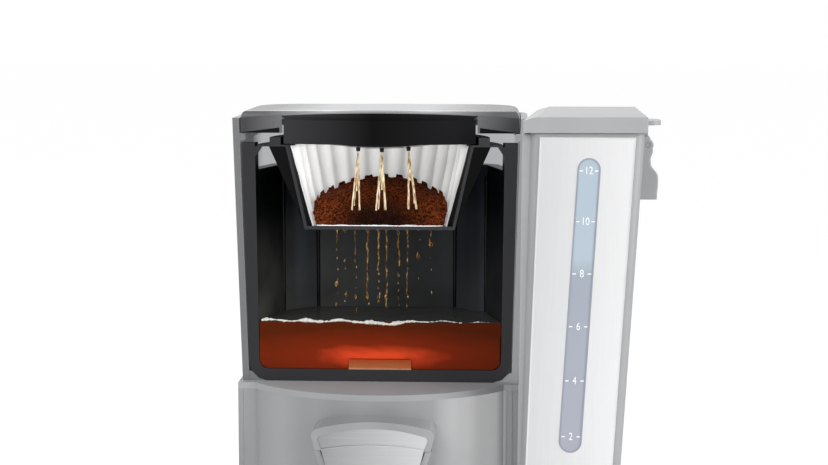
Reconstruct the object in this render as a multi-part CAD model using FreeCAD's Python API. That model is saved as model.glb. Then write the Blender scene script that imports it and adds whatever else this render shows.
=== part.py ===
"""Dispensing drip coffee maker, shown as a cutaway display model.

Frame while modelling: millimetres, +Z up, the front is -Y, x = 0 is the axis of the coffee tank,
y = 0 is the plane in which the upper half is sectioned, z = 0 is the table.
At the end everything moves so that the origin is below the middle of the whole machine.
"""
import FreeCAD
import Part
import math
import os

V = FreeCAD.Vector

# Clearances
RUN_FIT = 0.05           # radial play of a pin or stem in its bore
MOVE_GAP = 0.4           # between faces that move past each other
SET_GAP = 0.1            # around a panel that is set into an opening
SEAT_GAP = 0.3           # under a piece that lifts off its seat
OVERCUT = 1.0            # how far a cutting block stands out of what it cuts

# Base
FOOT_H = 4.0
FOOT_R = 9.0
FOOT_INSET = 17.0        # foot centre in from the sides of the base
BASE_TOP = 38.0
BASE_WALL = 3.0
BASE_PLATE_T = 3.0
BASE_RADIUS = 8.0
BASE_SIDE = 10.8         # base outside the foot of the reservoir
BASE_LEDGE = 4.0         # base in front of the reservoir
APRON_HALF = 78.0        # half width of the apron that carries the drip tray
APRON_REACH = 69.0       # apron in front of the rest of the base
APRON_RADIUS = 26.0
SCREW_R = 1.6
SCREW_HEAD_R = 3.0
SCREW_HEAD_T = 1.4
SCREW_LENGTH = 15.0
BOSS_R = 5.0

# Drip tray
TRAY_SIDE = 16.0         # tray in from the sides of the apron
TRAY_INSET = 8.0         # tray in from the front of the apron
TRAY_BACK_GAP = 12.3     # from the foremost line of the front wall to the tray
TRAY_DEPTH = 16.0        # tray below the top of the base
TRAY_RISE = 4.0          # tray above the top of the base, so that the cup rest lies clear of it
TRAY_WALL = 2.0
TRAY_RADIUS = 18.0
TRAY_LIP = 2.5           # ledge inside the tray on which the cup rest lies
CUP_REST_T = 3.0
CUP_REST_SLOT = 4.0
CUP_REST_BAR = 4.5

# Lower body
BODY_STEP_LEFT = 2.3     # lower body out from the upper housing
BODY_STEP_RIGHT = 3.7    # lower body in from the upper housing, beside the reservoir
BODY_FRONT = -7.0
BODY_RADIUS = 38.0
BODY_WALL = 3.5
FRONT_T = 3.0
FRONT_SIDE = 6.0         # flat wing beside the convex front
FRONT_BULGE = 40.7       # how far the front stands out of its chord
DECK_TOP = 205.0
DECK_T = 4.0
DECK_LIP = 0.8

# Upper housing, cut open at the section plane
SHELL_HALF_BOTTOM = 93.7
SHELL_DRAFT = 5.4        # how far each side leans out
SHELL_BACK_BOTTOM = 100.0
SHELL_BACK_DRAFT = 4.0
SHELL_RADIUS = 40.0
SHELL_WALL = 4.5
SHELL_H = 179.0
RAIL_H = 5.0             # rail inside the housing on which the lid lies
RAIL_W = 3.0

# Coffee tank
TANK_GAP = 0.3               # to the housing, at the foot
TANK_DRAFT = 4.0
TANK_WALL_TOP = 8.6
TANK_WALL_BOTTOM = 6.5
TANK_SIDE_IN = 12.3          # facet corners of the inner plan, in from the half width
TANK_SIDE_Y = 50.0
TANK_REAR_IN = 35.0
REAR_SPACE = 30.0            # from the inner rear facet to the back of the housing
TANK_FLOOR_T = 8.3
TANK_CORNER = 13.0
TANK_IN_CORNER = 6.0
TANK_LIP = 1.5               # tank above the flange of the basket
BASKET_LEG_H = 17.0          # rear rim of the tank below the top of the basket
TANK_RIB = 6.0               # depth of the tall rib along the section
OUTLET_R = 5.0
SCREEN_R = 21.3
SCREEN_H = 6.9
COFFEE_DEPTH = 32.9

# Brew basket and what it holds
BASKET_GAP = 0.8             # below the drum
BASKET_ROOM = 1.7            # between the flange and the tank
BASKET_FLANGE_T = 1.2
BASKET_FLANGE_W = 19.3       # flange outside the neck of the cone
BASKET_TAPER = 12.7
BASKET_DEPTH = 57.1
BASKET_WALL = 2.0
BASKET_FLOOR_T = 2.3
COLLAR_GAP = 0.9             # round the flange of the drum
COLLAR_W = 7.4
COLLAR_H = 5.0
GUSSET_REACH = 11.3
GUSSET_T = 3.0
BASKET_LEG_X = 30.0
BASKET_LEG_W = 8.0
LUG_W = 5.0
LUG_H = 9.0
DRIP_HOLE_R = 1.6
DRIP_X = (-29.0, -17.0, -6.0, 6.0, 20.0, 35.0)
DRIP_Y = 9.0
DRIP_R = 0.45
DROP_R = 1.5
FILTER_GAP = 2.1             # between the paper and the wall of the basket
FILTER_DROP = 3.2            # rim of the paper below the top of the basket
FILTER_T = 0.8
FILTER_PLEATS = 20
PLEAT_FOOT = 1.0
PLEAT_RIM = 3.2
GROUNDS_FRONT = 9.0
GROUNDS_BACK = 32.0
JET_X = (-15.0, 1.0, 19.0)
JET_Y = 9.0
JET_R = 1.3

# Lid over the tank, with the shower drum
LID_GAP = 1.0
LID_SKIRT = 10.0
LID_CROWN = 5.0
LID_WALL = 3.0
DRUM_OVER = 1.2              # drum outside the neck of the basket
DRUM_FLANGE = 1.2
DRUM_FLANGE_T = 3.0
DRUM_GROOVE = 1.0
DRUM_BULGE = 13.0
DRUM_DROP = 7.2              # drum below the rim of the lid
SHOWER_R = 44.0
SHOWER_DROP = 4.6
SHOWER_MARGIN = 5.5
SPRAY_R = 2.0
SPRAY_L = 2.2
DUCT_HALF = 6.0
HINGE_HALF = 33.0            # half length of the lid's hinge barrel
HINGE_BARREL_R = 4.5
HINGE_PIN_R = 2.0
HINGE_EAR = 5.0

# Water reservoir at the right side, leaning outwards as it rises
RES_STEP = 6.0               # rim of the reservoir below the top of the housing
RES_GAP = 2.5                # to the lower body
RES_LEFT_LEAN = 8.4
RES_WIDTH_BOTTOM = 60.7
RES_WIDTH_TOP = 72.2
RES_FRONT = -62.0
RES_DEPTH = 132.0
RES_RADIUS = 5.0
RES_WALL = 3.0
PANEL_T = 1.0
PANEL_MARGIN_LEFT = 5.0
PANEL_MARGIN_RIGHT = 5.5
PANEL_TOP_MARGIN = 2.3
PANEL_BOTTOM_MARGIN = 10.0
PANEL_RADIUS = 4.0
WINDOW_W = 15.0
WINDOW_LENGTH = 190.9
WINDOW_TOP_MARGIN = 15.2     # below the rim of the reservoir
WINDOW_IN = 34.0             # middle of the window in from the right side
WINDOW_PROUD = 0.3
RES_LID_OVERHANG = 1.6
RES_LID_EDGE = 3.0
RES_LID_H = 10.3
RES_LID_HIP = 6.5
RES_LID_WALL = 2.5
TAB_REACH = 12.5
TAB_T = 3.0
TAB_HALF = 13.0
RES_PIN_DROP = 9.4           # hinge pin below the rim
RES_BARREL_R = 4.0
RES_PIN_R = 1.5
RES_EAR_HALF = 11.5
HANDLE_HALF = 32.0
HANDLE_DROP = 4.0            # grip below the rim
HANDLE_H = 38.7
HANDLE_REACH = 11.0
HANDLE_WALL = 2.6
SPIGOT_R = 6.0
SPIGOT_H = 10.0
DOCK_T = 2.0
DOCK_MARGIN = 5.0
RES_BOSS_R = 10.0
RES_BOSS_H = 12.0
RES_CAP_R = 8.5
RES_CAP_T = 3.0

# Dispenser
HOOD_HALF = 41.0
HOOD_REACH = 22.3        # hood in front of the convex wall
HOOD_DROP = 9.0          # hood below the deck
HOOD_H = 19.0
HOOD_RISE = 6.0          # rise of the arch
HOOD_TAPER = 3.5         # each side draws in towards the foot
HOOD_CORNER = 5.0
HOOD_WALL = 4.5
CAP_T = 2.5
CAP_SET = 0.6            # how far the cap lies behind the rim of the hood
LEVER_PIN_IN = 13.7      # pin behind the foremost line of the front wall
LEVER_PIN_R = 2.0
LEVER_HUB_R = 5.0
LEVER_HALF_TOP = 31.0
LEVER_HALF_BOTTOM = 17.0
LEVER_FACE_OUT = 5.8     # paddle in front of that line
LEVER_T = 3.0
LEVER_H = 58.0           # paddle below its pin
LEVER_EAR = 4.0
ARM_HALF = 6.0
WINDOW_MARGIN = 3.0      # room around the lever in the front wall
NOZZLE_REACH = 14.3
NOZZLE_R = 3.5
NOZZLE_BORE = 2.4
NOZZLE_DROP = 19.0       # end of the nozzle below the duct
DUCT_DROP = 9.0          # duct below the top of the hood
VALVE_Y = 12.0
VALVE_R = 11.0
VALVE_H = 15.0           # chamber below the seat
VALVE_WALL = 2.5
VALVE_SEAT_DROP = 8.0    # seat below the underside of the deck
VALVE_HEAD_R = 6.0
VALVE_HEAD_T = 3.0
VALVE_SEAL_T = 1.5
STEM_R = 2.0
COLLAR_R = 3.5
COLLAR_T = 1.5
FORK_GAP = 0.7

# Heater and water way
WARM_HALF = 55.0
WARM_FRONT = 28.0
WARM_RISER_GAP = 13.0    # plate in front of the riser
WARM_T = 2.0
WARM_LEDGE = 4.0
HEATER_LEG_X = 32.0
HEATER_R = 6.0
HEATER_BEND_Y = 40.0
HEATER_RISER_GAP = 11.0
SADDLE_T = 5.0
RISER_BACK_GAP = 7.0     # between the riser and the rear wall
RISER_R = 3.5
RISER_BORE = 2.2
RISER_BEND = 6.0
RISER_TOP_GAP = 0.8
HOSE_R = 4.0
HOSE_BORE = 2.6
HOSE_BEND = 9.0
HOSE_RISE = 15.0         # above the base plate
CHECK_RISE = 57.0        # above the base
CHECK_L = 27.0
CHECK_R = 8.0
SENSOR_R = 7.0
SENSOR_T = 6.0
FUSE_R = 2.0
FUSE_L = 24.0
INLET_INSET = 36.0       # in from the left side of the base
INLET_RISE = 13.0        # above the base plate
INLET_R = 7.0
INLET_BORE = 3.5

# Controls on the front of the base, below the reservoir
CONTROL_W = 56.0
CONTROL_INSET = 9.0      # in from the right side of the base
CONTROL_EDGE = 4.0       # below the top of the base
CONTROL_RISE = 4.0       # above the base plate
CONTROL_PROUD = 1.0
LENS_W = 17.0
LENS_H = 13.0
BUTTON_R = 4.2
BUTTON_RIM = 0.6
BUTTON_RIM_T = 1.2
BUTTON_PITCH = 10.5
BUTTON_COUNT = 3
BUTTON_PROUD = 1.8
BUTTON_TRAVEL = 1.5
BOARD_T = 1.6
SWITCH_SIZE = 6.0
SWITCH_H = 3.4

# Sizes that follow from the driving dimensions: the lower half
BASE_PLATE_TOP = FOOT_H + BASE_PLATE_T
BASE_CEILING = BASE_TOP - BASE_WALL
BODY_LEFT = -SHELL_HALF_BOTTOM - BODY_STEP_LEFT
BODY_RIGHT = SHELL_HALF_BOTTOM - BODY_STEP_RIGHT
BODY_BACK = SHELL_BACK_BOTTOM
DECK_RIGHT = SHELL_HALF_BOTTOM + DECK_LIP
DECK_BOTTOM = DECK_TOP - DECK_T
FRONT_HALF = BODY_RIGHT - FRONT_SIDE
FRONT_Y = BODY_FRONT - FRONT_BULGE
FRONT_RADIUS = (FRONT_HALF ** 2 + FRONT_BULGE ** 2) / (2 * FRONT_BULGE)
FRONT_AXIS_Y = FRONT_Y + FRONT_RADIUS

# The upper half
SHELL_HALF_TOP = SHELL_HALF_BOTTOM + SHELL_DRAFT
SHELL_BACK_TOP = SHELL_BACK_BOTTOM + SHELL_BACK_DRAFT
SHELL_TOP = DECK_TOP + SHELL_H
SHELL_INNER_TOP = SHELL_HALF_TOP - SHELL_WALL
LID_RIM_Z = SHELL_TOP - LID_SKIRT
LID_PIN_Y = SHELL_BACK_TOP - SHELL_WALL / 2
LID_PIN_Z = SHELL_TOP
LID_TOP = SHELL_TOP + LID_CROWN
DRUM_BOTTOM = LID_RIM_Z - DRUM_DROP
BASKET_TOP = DRUM_BOTTOM - BASKET_GAP
TANK_TOP = BASKET_TOP + TANK_LIP
TANK_REAR_TOP = BASKET_TOP - BASKET_LEG_H
TANK_FLOOR = DECK_TOP + TANK_FLOOR_T
TANK_HALF_BOTTOM = SHELL_HALF_BOTTOM - SHELL_WALL - TANK_GAP
TANK_HALF_TOP = TANK_HALF_BOTTOM + TANK_DRAFT
TANK_IN_TOP = TANK_HALF_TOP - TANK_WALL_TOP
TANK_IN_BOTTOM = TANK_HALF_BOTTOM - TANK_WALL_BOTTOM
TANK_REAR_Y = SHELL_BACK_BOTTOM - REAR_SPACE
COFFEE_LEVEL = TANK_FLOOR + COFFEE_DEPTH
BASKET_BOTTOM = BASKET_TOP - BASKET_DEPTH
BASKET_FLOOR = BASKET_BOTTOM + BASKET_FLOOR_T
BASKET_FLANGE_R = TANK_IN_TOP - BASKET_ROOM
BASKET_NECK_R = BASKET_FLANGE_R - BASKET_FLANGE_W
BASKET_FOOT_R = BASKET_NECK_R - BASKET_TAPER
DRUM_HALF = BASKET_NECK_R + DRUM_OVER
DRUM_BACK = DRUM_HALF
COLLAR_IN_R = DRUM_HALF + DRUM_FLANGE + COLLAR_GAP
COLLAR_OUT_R = COLLAR_IN_R + COLLAR_W
GUSSET_TOP_R = BASKET_NECK_R + GUSSET_REACH
FILTER_FOOT_R = BASKET_FOOT_R - BASKET_WALL - FILTER_GAP
FILTER_RIM_R = BASKET_NECK_R - BASKET_WALL - FILTER_GAP
FILTER_TOP = BASKET_TOP - FILTER_DROP

# The reservoir and the base below it
RES_TOP = SHELL_TOP - RES_STEP
RES_BOTTOM = BASE_TOP + DOCK_T + SEAT_GAP
RES_LEFT_BOTTOM = BODY_RIGHT + RES_GAP
RES_LEFT_TOP = RES_LEFT_BOTTOM + RES_LEFT_LEAN
RES_RIGHT_BOTTOM = RES_LEFT_BOTTOM + RES_WIDTH_BOTTOM
RES_RIGHT_TOP = RES_LEFT_TOP + RES_WIDTH_TOP
RES_BACK = RES_FRONT + RES_DEPTH
RES_MID_Y = (RES_FRONT + RES_BACK) / 2
RES_OUTLET_X = (RES_LEFT_BOTTOM + RES_RIGHT_BOTTOM) / 2
RES_PIN_Z = RES_TOP - RES_PIN_DROP
WINDOW_HIGH = RES_TOP - WINDOW_TOP_MARGIN
WINDOW_LOW = WINDOW_HIGH - WINDOW_LENGTH
HANDLE_TOP = RES_TOP - HANDLE_DROP
HANDLE_BOTTOM = HANDLE_TOP - HANDLE_H
BASE_LEFT = BODY_LEFT
BASE_RIGHT = RES_RIGHT_BOTTOM + BASE_SIDE
BASE_BACK = BODY_BACK
BASE_SHOULDER = RES_FRONT - BASE_LEDGE
APRON_FRONT = BASE_SHOULDER - APRON_REACH
TRAY_HALF = APRON_HALF - TRAY_SIDE
TRAY_FRONT = APRON_FRONT + TRAY_INSET
TRAY_REAR = FRONT_Y - TRAY_BACK_GAP
TRAY_TOP = BASE_TOP + TRAY_RISE
APRON_BACK = TRAY_REAR + MOVE_GAP + BASE_WALL

# The dispenser, the heater and the controls
HOOD_TOP = DECK_BOTTOM - HOOD_DROP
HOOD_SHOULDER = HOOD_TOP - HOOD_RISE
HOOD_BOTTOM = HOOD_TOP - HOOD_H
HOOD_FRONT = FRONT_Y - HOOD_REACH
LEVER_PIN_Y = FRONT_Y + LEVER_PIN_IN
LEVER_PIN_Z = HOOD_BOTTOM - LEVER_HUB_R
LEVER_FACE_Y = FRONT_Y - LEVER_FACE_OUT
LEVER_BOTTOM = LEVER_PIN_Z - LEVER_H
NOZZLE_Y = FRONT_Y - NOZZLE_REACH
DUCT_Z = HOOD_TOP - DUCT_DROP
NOZZLE_BOTTOM = DUCT_Z - NOZZLE_DROP
VALVE_SEAT_Z = DECK_BOTTOM - VALVE_SEAT_DROP
VALVE_BOTTOM = VALVE_SEAT_Z - VALVE_H
VALVE_ARM = VALVE_Y - LEVER_PIN_Y
RISER_Y = SHELL_BACK_BOTTOM - SHELL_WALL - RISER_R - RISER_BACK_GAP
WARM_BACK = RISER_Y - WARM_RISER_GAP
HEATER_END_Y = RISER_Y - HEATER_RISER_GAP
HEATER_Z = DECK_BOTTOM - HEATER_R - MOVE_GAP
HOSE_Z = BASE_PLATE_TOP + HOSE_RISE
INLET_X = BASE_LEFT + INLET_INSET
INLET_Z = BASE_PLATE_TOP + INLET_RISE
CHECK_LOW = BASE_TOP + CHECK_RISE
CHECK_HIGH = CHECK_LOW + CHECK_L
CONTROL_RIGHT = BASE_RIGHT - CONTROL_INSET
CONTROL_LEFT = CONTROL_RIGHT - CONTROL_W
CONTROL_LOW = BASE_PLATE_TOP + CONTROL_RISE
CONTROL_HIGH = BASE_TOP - CONTROL_EDGE


# Helpers
def box(x0, x1, y0, y1, z0, z1):
    return Part.makeBox(x1 - x0, y1 - y0, z1 - z0, V(x0, y0, z0))


def rod(x, y, z, radius, length, axis=V(0, 0, 1)):
    return Part.makeCylinder(radius, length, V(x, y, z), axis)


def ring(x, y, z, outer, inner, length, axis=V(0, 0, 1)):
    return rod(x, y, z, outer, length, axis).cut(rod(x, y, z, inner, length, axis))


def rounded_box(x0, x1, y0, y1, z0, z1, radius):
    block = box(x0, x1, y0, y1, z0, z1)
    upright = [e for e in block.Edges if abs(e.tangentAt(e.FirstParameter).z) > 0.9]
    return block.makeFillet(radius, upright)


def polygon(points):
    return Part.makePolygon([V(*p) for p in points] + [V(*points[0])])


def prism(points, direction):
    return Part.Face(polygon(points)).extrude(V(*direction))


def prism_xz(points, y0, y1):
    return prism([(x, y0, z) for x, z in points], (0, y1 - y0, 0))


def prism_yz(points, x0, x1):
    return prism([(x0, y, z) for y, z in points], (x1 - x0, 0, 0))


def loft(wires):
    return Part.makeLoft(wires, True, True)


def outline(*edges):
    """A closed wire from point runs: two points make a line, three make an arc."""
    made = []
    for run in edges:
        points = [V(*p) for p in run]
        if len(points) == 2:
            made.append(Part.LineSegment(*points).toShape())
        else:
            made.append(Part.Arc(*points).toShape())
    return Part.Wire(made)


def d_wire(left, right, front, back, radius, z):
    """Plan outline with a straight front and two round rear corners."""
    reach = radius * (1 - math.sqrt(0.5))
    return outline(
        ((left, front, z), (left, back - radius, z)),
        ((left, back - radius, z), (left + reach, back - reach, z), (left + radius, back, z)),
        ((left + radius, back, z), (right - radius, back, z)),
        ((right - radius, back, z), (right - reach, back - reach, z), (right, back - radius, z)),
        ((right, back - radius, z), (right, front, z)),
        ((right, front, z), (left, front, z)),
    )


def d_prism(left, right, front, back, radius, z0, z1):
    return Part.Face(d_wire(left, right, front, back, radius, z0)).extrude(V(0, 0, z1 - z0))


def bent_path(points, bend):
    """Straight runs joined by tangent arcs of one radius."""
    corners = [V(*p) for p in points]
    start = corners[0]
    edges = []
    for before, corner, after in zip(corners, corners[1:], corners[2:]):
        back = (before - corner).normalize()
        ahead = (after - corner).normalize()
        half = back.getAngle(ahead) / 2
        arc_start = corner + back * (bend / math.tan(half))
        arc_end = corner + ahead * (bend / math.tan(half))
        middle = corner + (back + ahead).normalize() * (bend / math.sin(half) - bend)
        edges.append(Part.LineSegment(start, arc_start).toShape())
        edges.append(Part.Arc(arc_start, middle, arc_end).toShape())
        start = arc_end
    edges.append(Part.LineSegment(start, corners[-1]).toShape())
    return Part.Wire(edges)


def pipe(points, bend, radius):
    path = bent_path(points, bend)
    along = (V(*points[1]) - V(*points[0])).normalize()
    sweep = Part.BRepOffsetAPI.MakePipeShell(path)
    sweep.add(Part.Wire([Part.makeCircle(radius, V(*points[0]), along)]))
    sweep.build()
    sweep.makeSolid()
    return sweep.shape()


def hollow_pipe(points, bend, radius, bore):
    return pipe(points, bend, radius).cut(pipe(points, bend, bore))


def between(low, high, z0, z1, z):
    return low + (high - low) * (z - z0) / (z1 - z0)


# Base, feet and drip tray
def rear_block(inset, z0, z1):
    return rounded_box(BASE_LEFT + inset, BASE_RIGHT - inset, BASE_SHOULDER + inset, BASE_BACK - inset,
                       z0, z1, BASE_RADIUS - inset)


def apron_block(inset, z0, z1):
    return rounded_box(-APRON_HALF + inset, APRON_HALF - inset, APRON_FRONT + inset, BODY_FRONT,
                       z0, z1, APRON_RADIUS - inset)


def base_block(inset, z0, z1):
    return rear_block(inset, z0, z1).fuse(apron_block(inset, z0, z1)).removeSplitter()


def foot_places():
    rear_y = BASE_BACK - FOOT_INSET
    front_x = APRON_HALF - FOOT_INSET - FOOT_R / 2
    front_y = APRON_FRONT + FOOT_INSET + FOOT_R / 2
    return [(BASE_LEFT + FOOT_INSET, rear_y), (BASE_RIGHT - FOOT_INSET, rear_y),
            (BASE_RIGHT - FOOT_INSET, BASE_SHOULDER + FOOT_INSET),
            (-front_x, front_y), (front_x, front_y)]


def base_screw_places():
    return [(BASE_LEFT + 2 * FOOT_INSET, BASE_BACK - FOOT_INSET),
            (BASE_RIGHT - 2 * FOOT_INSET, BASE_BACK - FOOT_INSET),
            (BASE_RIGHT - FOOT_INSET, BASE_SHOULDER + 2 * FOOT_INSET),
            (BASE_LEFT + FOOT_INSET, BASE_SHOULDER + FOOT_INSET)]


def apron_screw_places():
    x = APRON_HALF - BASE_WALL - 0.8 * BOSS_R
    y = (TRAY_FRONT + TRAY_REAR) / 2
    return [(-x, y), (x, y)]


def screw_places():
    return base_screw_places() + apron_screw_places()


def feet():
    return Part.makeCompound([rod(x, y, 0, FOOT_R, FOOT_H) for x, y in foot_places()])


def base_plate():
    plate = base_block(BASE_WALL + SET_GAP, FOOT_H, BASE_PLATE_TOP)
    for x, y in screw_places():
        plate = plate.cut(rod(x, y, FOOT_H, SCREW_R + SET_GAP, BASE_PLATE_T))
        plate = plate.cut(rod(x, y, FOOT_H, SCREW_HEAD_R + SET_GAP, SCREW_HEAD_T))
    return plate


def base_screws():
    screws = []
    for x, y in screw_places():
        head = rod(x, y, FOOT_H, SCREW_HEAD_R, SCREW_HEAD_T)
        screws.append(head.fuse(rod(x, y, FOOT_H, SCREW_R, SCREW_LENGTH)))
    return Part.makeCompound(screws)


def tray_recess(grow, z0):
    return rounded_box(-TRAY_HALF - grow, TRAY_HALF + grow, TRAY_FRONT - grow, TRAY_REAR + grow,
                       z0, BASE_TOP + 1, TRAY_RADIUS + grow)


def control_opening(grow):
    return box(CONTROL_LEFT - grow, CONTROL_RIGHT + grow, BASE_SHOULDER - 1, BASE_SHOULDER + BASE_WALL,
               CONTROL_LOW - grow, CONTROL_HIGH + grow)


def apron_notch(grow):
    """Space in the front of the base shell into which the apron plugs."""
    half = APRON_HALF + SET_GAP + grow
    return box(-half, half, BASE_SHOULDER - OVERCUT, APRON_BACK + SET_GAP + grow, FOOT_H, BASE_TOP)


def add_bosses(shell, places):
    for x, y in places:
        shell = shell.fuse(rod(x, y, BASE_PLATE_TOP, BOSS_R, BASE_CEILING - BASE_PLATE_TOP))
        shell = shell.cut(rod(x, y, BASE_PLATE_TOP, SCREW_R + SET_GAP / 2, SCREW_LENGTH))
    return shell.cut(base_block(BASE_WALL, FOOT_H, BASE_PLATE_TOP))


def base_shell():
    shell = rear_block(0, FOOT_H, BASE_TOP).cut(apron_notch(0))
    shell = shell.cut(rear_block(BASE_WALL, FOOT_H, BASE_CEILING).cut(apron_notch(BASE_WALL)))
    shell = add_bosses(shell, base_screw_places())
    hose_half = HEATER_LEG_X + CHECK_R
    shell = shell.cut(box(-hose_half, hose_half, BODY_FRONT, BODY_BACK - 2 * BODY_WALL,
                          BASE_CEILING - OVERCUT, BASE_TOP + OVERCUT))
    shell = shell.cut(control_opening(0))
    shell = shell.cut(rod(RES_OUTLET_X, RES_MID_Y, BASE_CEILING - OVERCUT, SPIGOT_R, BASE_WALL + 2 * OVERCUT))
    return shell.cut(rod(INLET_X, BASE_BACK - 2 * BASE_WALL, INLET_Z, INLET_R, 3 * BASE_WALL, V(0, 1, 0)))


def apron_shell():
    """Front of the base, with the recess of the drip tray; it plugs into the base shell."""
    recess_floor = BASE_TOP - TRAY_DEPTH - MOVE_GAP
    behind = box(-APRON_HALF, APRON_HALF, APRON_BACK, BODY_FRONT + OVERCUT, FOOT_H, BASE_TOP)
    rear_wall = box(-APRON_HALF, APRON_HALF, APRON_BACK - BASE_WALL, APRON_BACK, FOOT_H, BASE_TOP)
    cavity = apron_block(BASE_WALL, FOOT_H, BASE_CEILING).cut(rear_wall)
    cavity = cavity.cut(tray_recess(MOVE_GAP + BASE_WALL, recess_floor - BASE_WALL))
    shell = apron_block(0, FOOT_H, BASE_TOP).cut(cavity).cut(behind)
    shell = shell.cut(tray_recess(MOVE_GAP, recess_floor))
    return add_bosses(shell, apron_screw_places())


def cord_inlet():
    """Bare grommet in the rear wall, where a lead would enter."""
    flange = ring(INLET_X, BASE_BACK, INLET_Z, INLET_R + 2, INLET_BORE, BASE_WALL, V(0, 1, 0))
    neck = ring(INLET_X, BASE_BACK - 2 * BASE_WALL, INLET_Z, INLET_R, INLET_BORE, 2 * BASE_WALL, V(0, 1, 0))
    return flange.fuse(neck)


def drip_tray():
    floor = BASE_TOP - TRAY_DEPTH
    rest = TRAY_TOP - CUP_REST_T - SEAT_GAP
    tray = rounded_box(-TRAY_HALF, TRAY_HALF, TRAY_FRONT, TRAY_REAR, floor, TRAY_TOP, TRAY_RADIUS)
    pan = TRAY_WALL + TRAY_LIP
    tray = tray.cut(rounded_box(-TRAY_HALF + pan, TRAY_HALF - pan, TRAY_FRONT + pan, TRAY_REAR - pan,
                                floor + TRAY_WALL, TRAY_TOP, TRAY_RADIUS - pan))
    return tray.cut(rounded_box(-TRAY_HALF + TRAY_WALL, TRAY_HALF - TRAY_WALL, TRAY_FRONT + TRAY_WALL,
                                TRAY_REAR - TRAY_WALL, rest, TRAY_TOP, TRAY_RADIUS - TRAY_WALL))


def cup_rest():
    edge = TRAY_WALL + SET_GAP
    z0 = TRAY_TOP - CUP_REST_T
    plate = rounded_box(-TRAY_HALF + edge, TRAY_HALF - edge, TRAY_FRONT + edge, TRAY_REAR - edge,
                        z0, TRAY_TOP, TRAY_RADIUS - edge)
    pitch = CUP_REST_SLOT + CUP_REST_BAR
    depth = TRAY_REAR - TRAY_FRONT - 2 * (edge + TRAY_LIP + CUP_REST_BAR)
    count = int(depth // pitch)
    middle = (TRAY_FRONT + TRAY_REAR) / 2
    half = TRAY_HALF - TRAY_RADIUS
    for i in range(count):
        y = middle + (i - (count - 1) / 2) * pitch - CUP_REST_SLOT / 2
        slot = box(-half, half, y, y + CUP_REST_SLOT, z0, TRAY_TOP)
        upright = [e for e in slot.Edges if abs(e.tangentAt(e.FirstParameter).z) > 0.9]
        plate = plate.cut(slot.makeFillet(CUP_REST_SLOT * 0.45, upright))
    return plate


# Lower body
def front_cylinder(radius, z0, z1):
    return rod(0, FRONT_AXIS_Y, z0, radius, z1 - z0)


def front_plan(z0, z1):
    """Solid bounded by the convex front, as deep as the lower body's front edge."""
    bulge = front_cylinder(FRONT_RADIUS, z0, z1)
    return bulge.common(box(-FRONT_HALF, FRONT_HALF, BODY_FRONT - FRONT_BULGE - 1, BODY_FRONT, z0, z1))


def body_shell():
    outer = d_prism(BODY_LEFT, BODY_RIGHT, BODY_FRONT, BODY_BACK, BODY_RADIUS, BASE_TOP, DECK_BOTTOM)
    inner = d_prism(BODY_LEFT + BODY_WALL, BODY_RIGHT - BODY_WALL, BODY_FRONT - 1, BODY_BACK - BODY_WALL,
                    BODY_RADIUS - BODY_WALL, BASE_TOP, DECK_BOTTOM)
    return outer.cut(inner)


def lever_window():
    half = LEVER_HALF_TOP + WINDOW_MARGIN
    return box(-half, half, BODY_FRONT - FRONT_BULGE - 5, LEVER_PIN_Y, LEVER_BOTTOM - 2 * WINDOW_MARGIN,
               LEVER_PIN_Z + LEVER_HUB_R + WINDOW_MARGIN)


def front_wall():
    """Convex front with flat wings, a window for the lever and two ears for its pin."""
    wing_y = BODY_FRONT + FRONT_T
    skin = front_plan(BASE_TOP, DECK_BOTTOM)
    wings = box(BODY_LEFT + BODY_WALL + SET_GAP, BODY_RIGHT - BODY_WALL - SET_GAP, BODY_FRONT, wing_y,
                BASE_TOP, DECK_BOTTOM)
    wall = skin.fuse(wings).cut(front_cylinder(FRONT_RADIUS - FRONT_T, BASE_TOP, DECK_BOTTOM))
    wall = wall.cut(lever_window())
    ear_in = LEVER_HALF_TOP + WINDOW_MARGIN
    ear_low = LEVER_PIN_Z - LEVER_HUB_R
    ear_high = LEVER_PIN_Z + LEVER_HUB_R
    for side in (-1, 1):
        x0, x1 = sorted((side * ear_in, side * (ear_in + LEVER_EAR)))
        ear = box(x0, x1, BODY_FRONT - FRONT_BULGE, LEVER_PIN_Y + LEVER_HUB_R, ear_low, ear_high)
        wall = wall.fuse(ear.common(front_cylinder(FRONT_RADIUS, ear_low, ear_high)))
    pin_half = ear_in + LEVER_EAR
    wall = wall.cut(rod(-pin_half, LEVER_PIN_Y, LEVER_PIN_Z, LEVER_PIN_R, 2 * pin_half, V(1, 0, 0)))
    duct_hole = rod(0, BODY_FRONT - FRONT_BULGE - 5, DUCT_Z, NOZZLE_R + SET_GAP, FRONT_BULGE, V(0, 1, 0))
    return wall.cut(duct_hole).removeSplitter()


def lever_pin():
    half = LEVER_HALF_TOP + WINDOW_MARGIN + LEVER_EAR
    return rod(-half, LEVER_PIN_Y, LEVER_PIN_Z, LEVER_PIN_R, 2 * half, V(1, 0, 0))


def tank_deck():
    """Floor on which the tank stands, with the ledge that shows in front of the section."""
    deck = d_prism(BODY_LEFT, DECK_RIGHT, BODY_FRONT, BODY_BACK, BODY_RADIUS, DECK_BOTTOM, DECK_TOP)
    deck = deck.fuse(front_plan(DECK_BOTTOM, DECK_TOP)).removeSplitter()
    deck = deck.cut(rod(0, VALVE_Y, DECK_BOTTOM, VALVE_R + SET_GAP, DECK_T))
    deck = deck.cut(rod(-HEATER_LEG_X, RISER_Y, DECK_BOTTOM, RISER_R + SET_GAP, DECK_T))
    deck = deck.cut(box(-WARM_HALF, WARM_HALF, WARM_FRONT, WARM_BACK, DECK_TOP - WARM_T, DECK_TOP))
    inner = WARM_HALF - WARM_LEDGE
    return deck.cut(box(-inner, inner, WARM_FRONT + WARM_LEDGE, WARM_BACK - WARM_LEDGE, DECK_BOTTOM, DECK_TOP))


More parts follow.
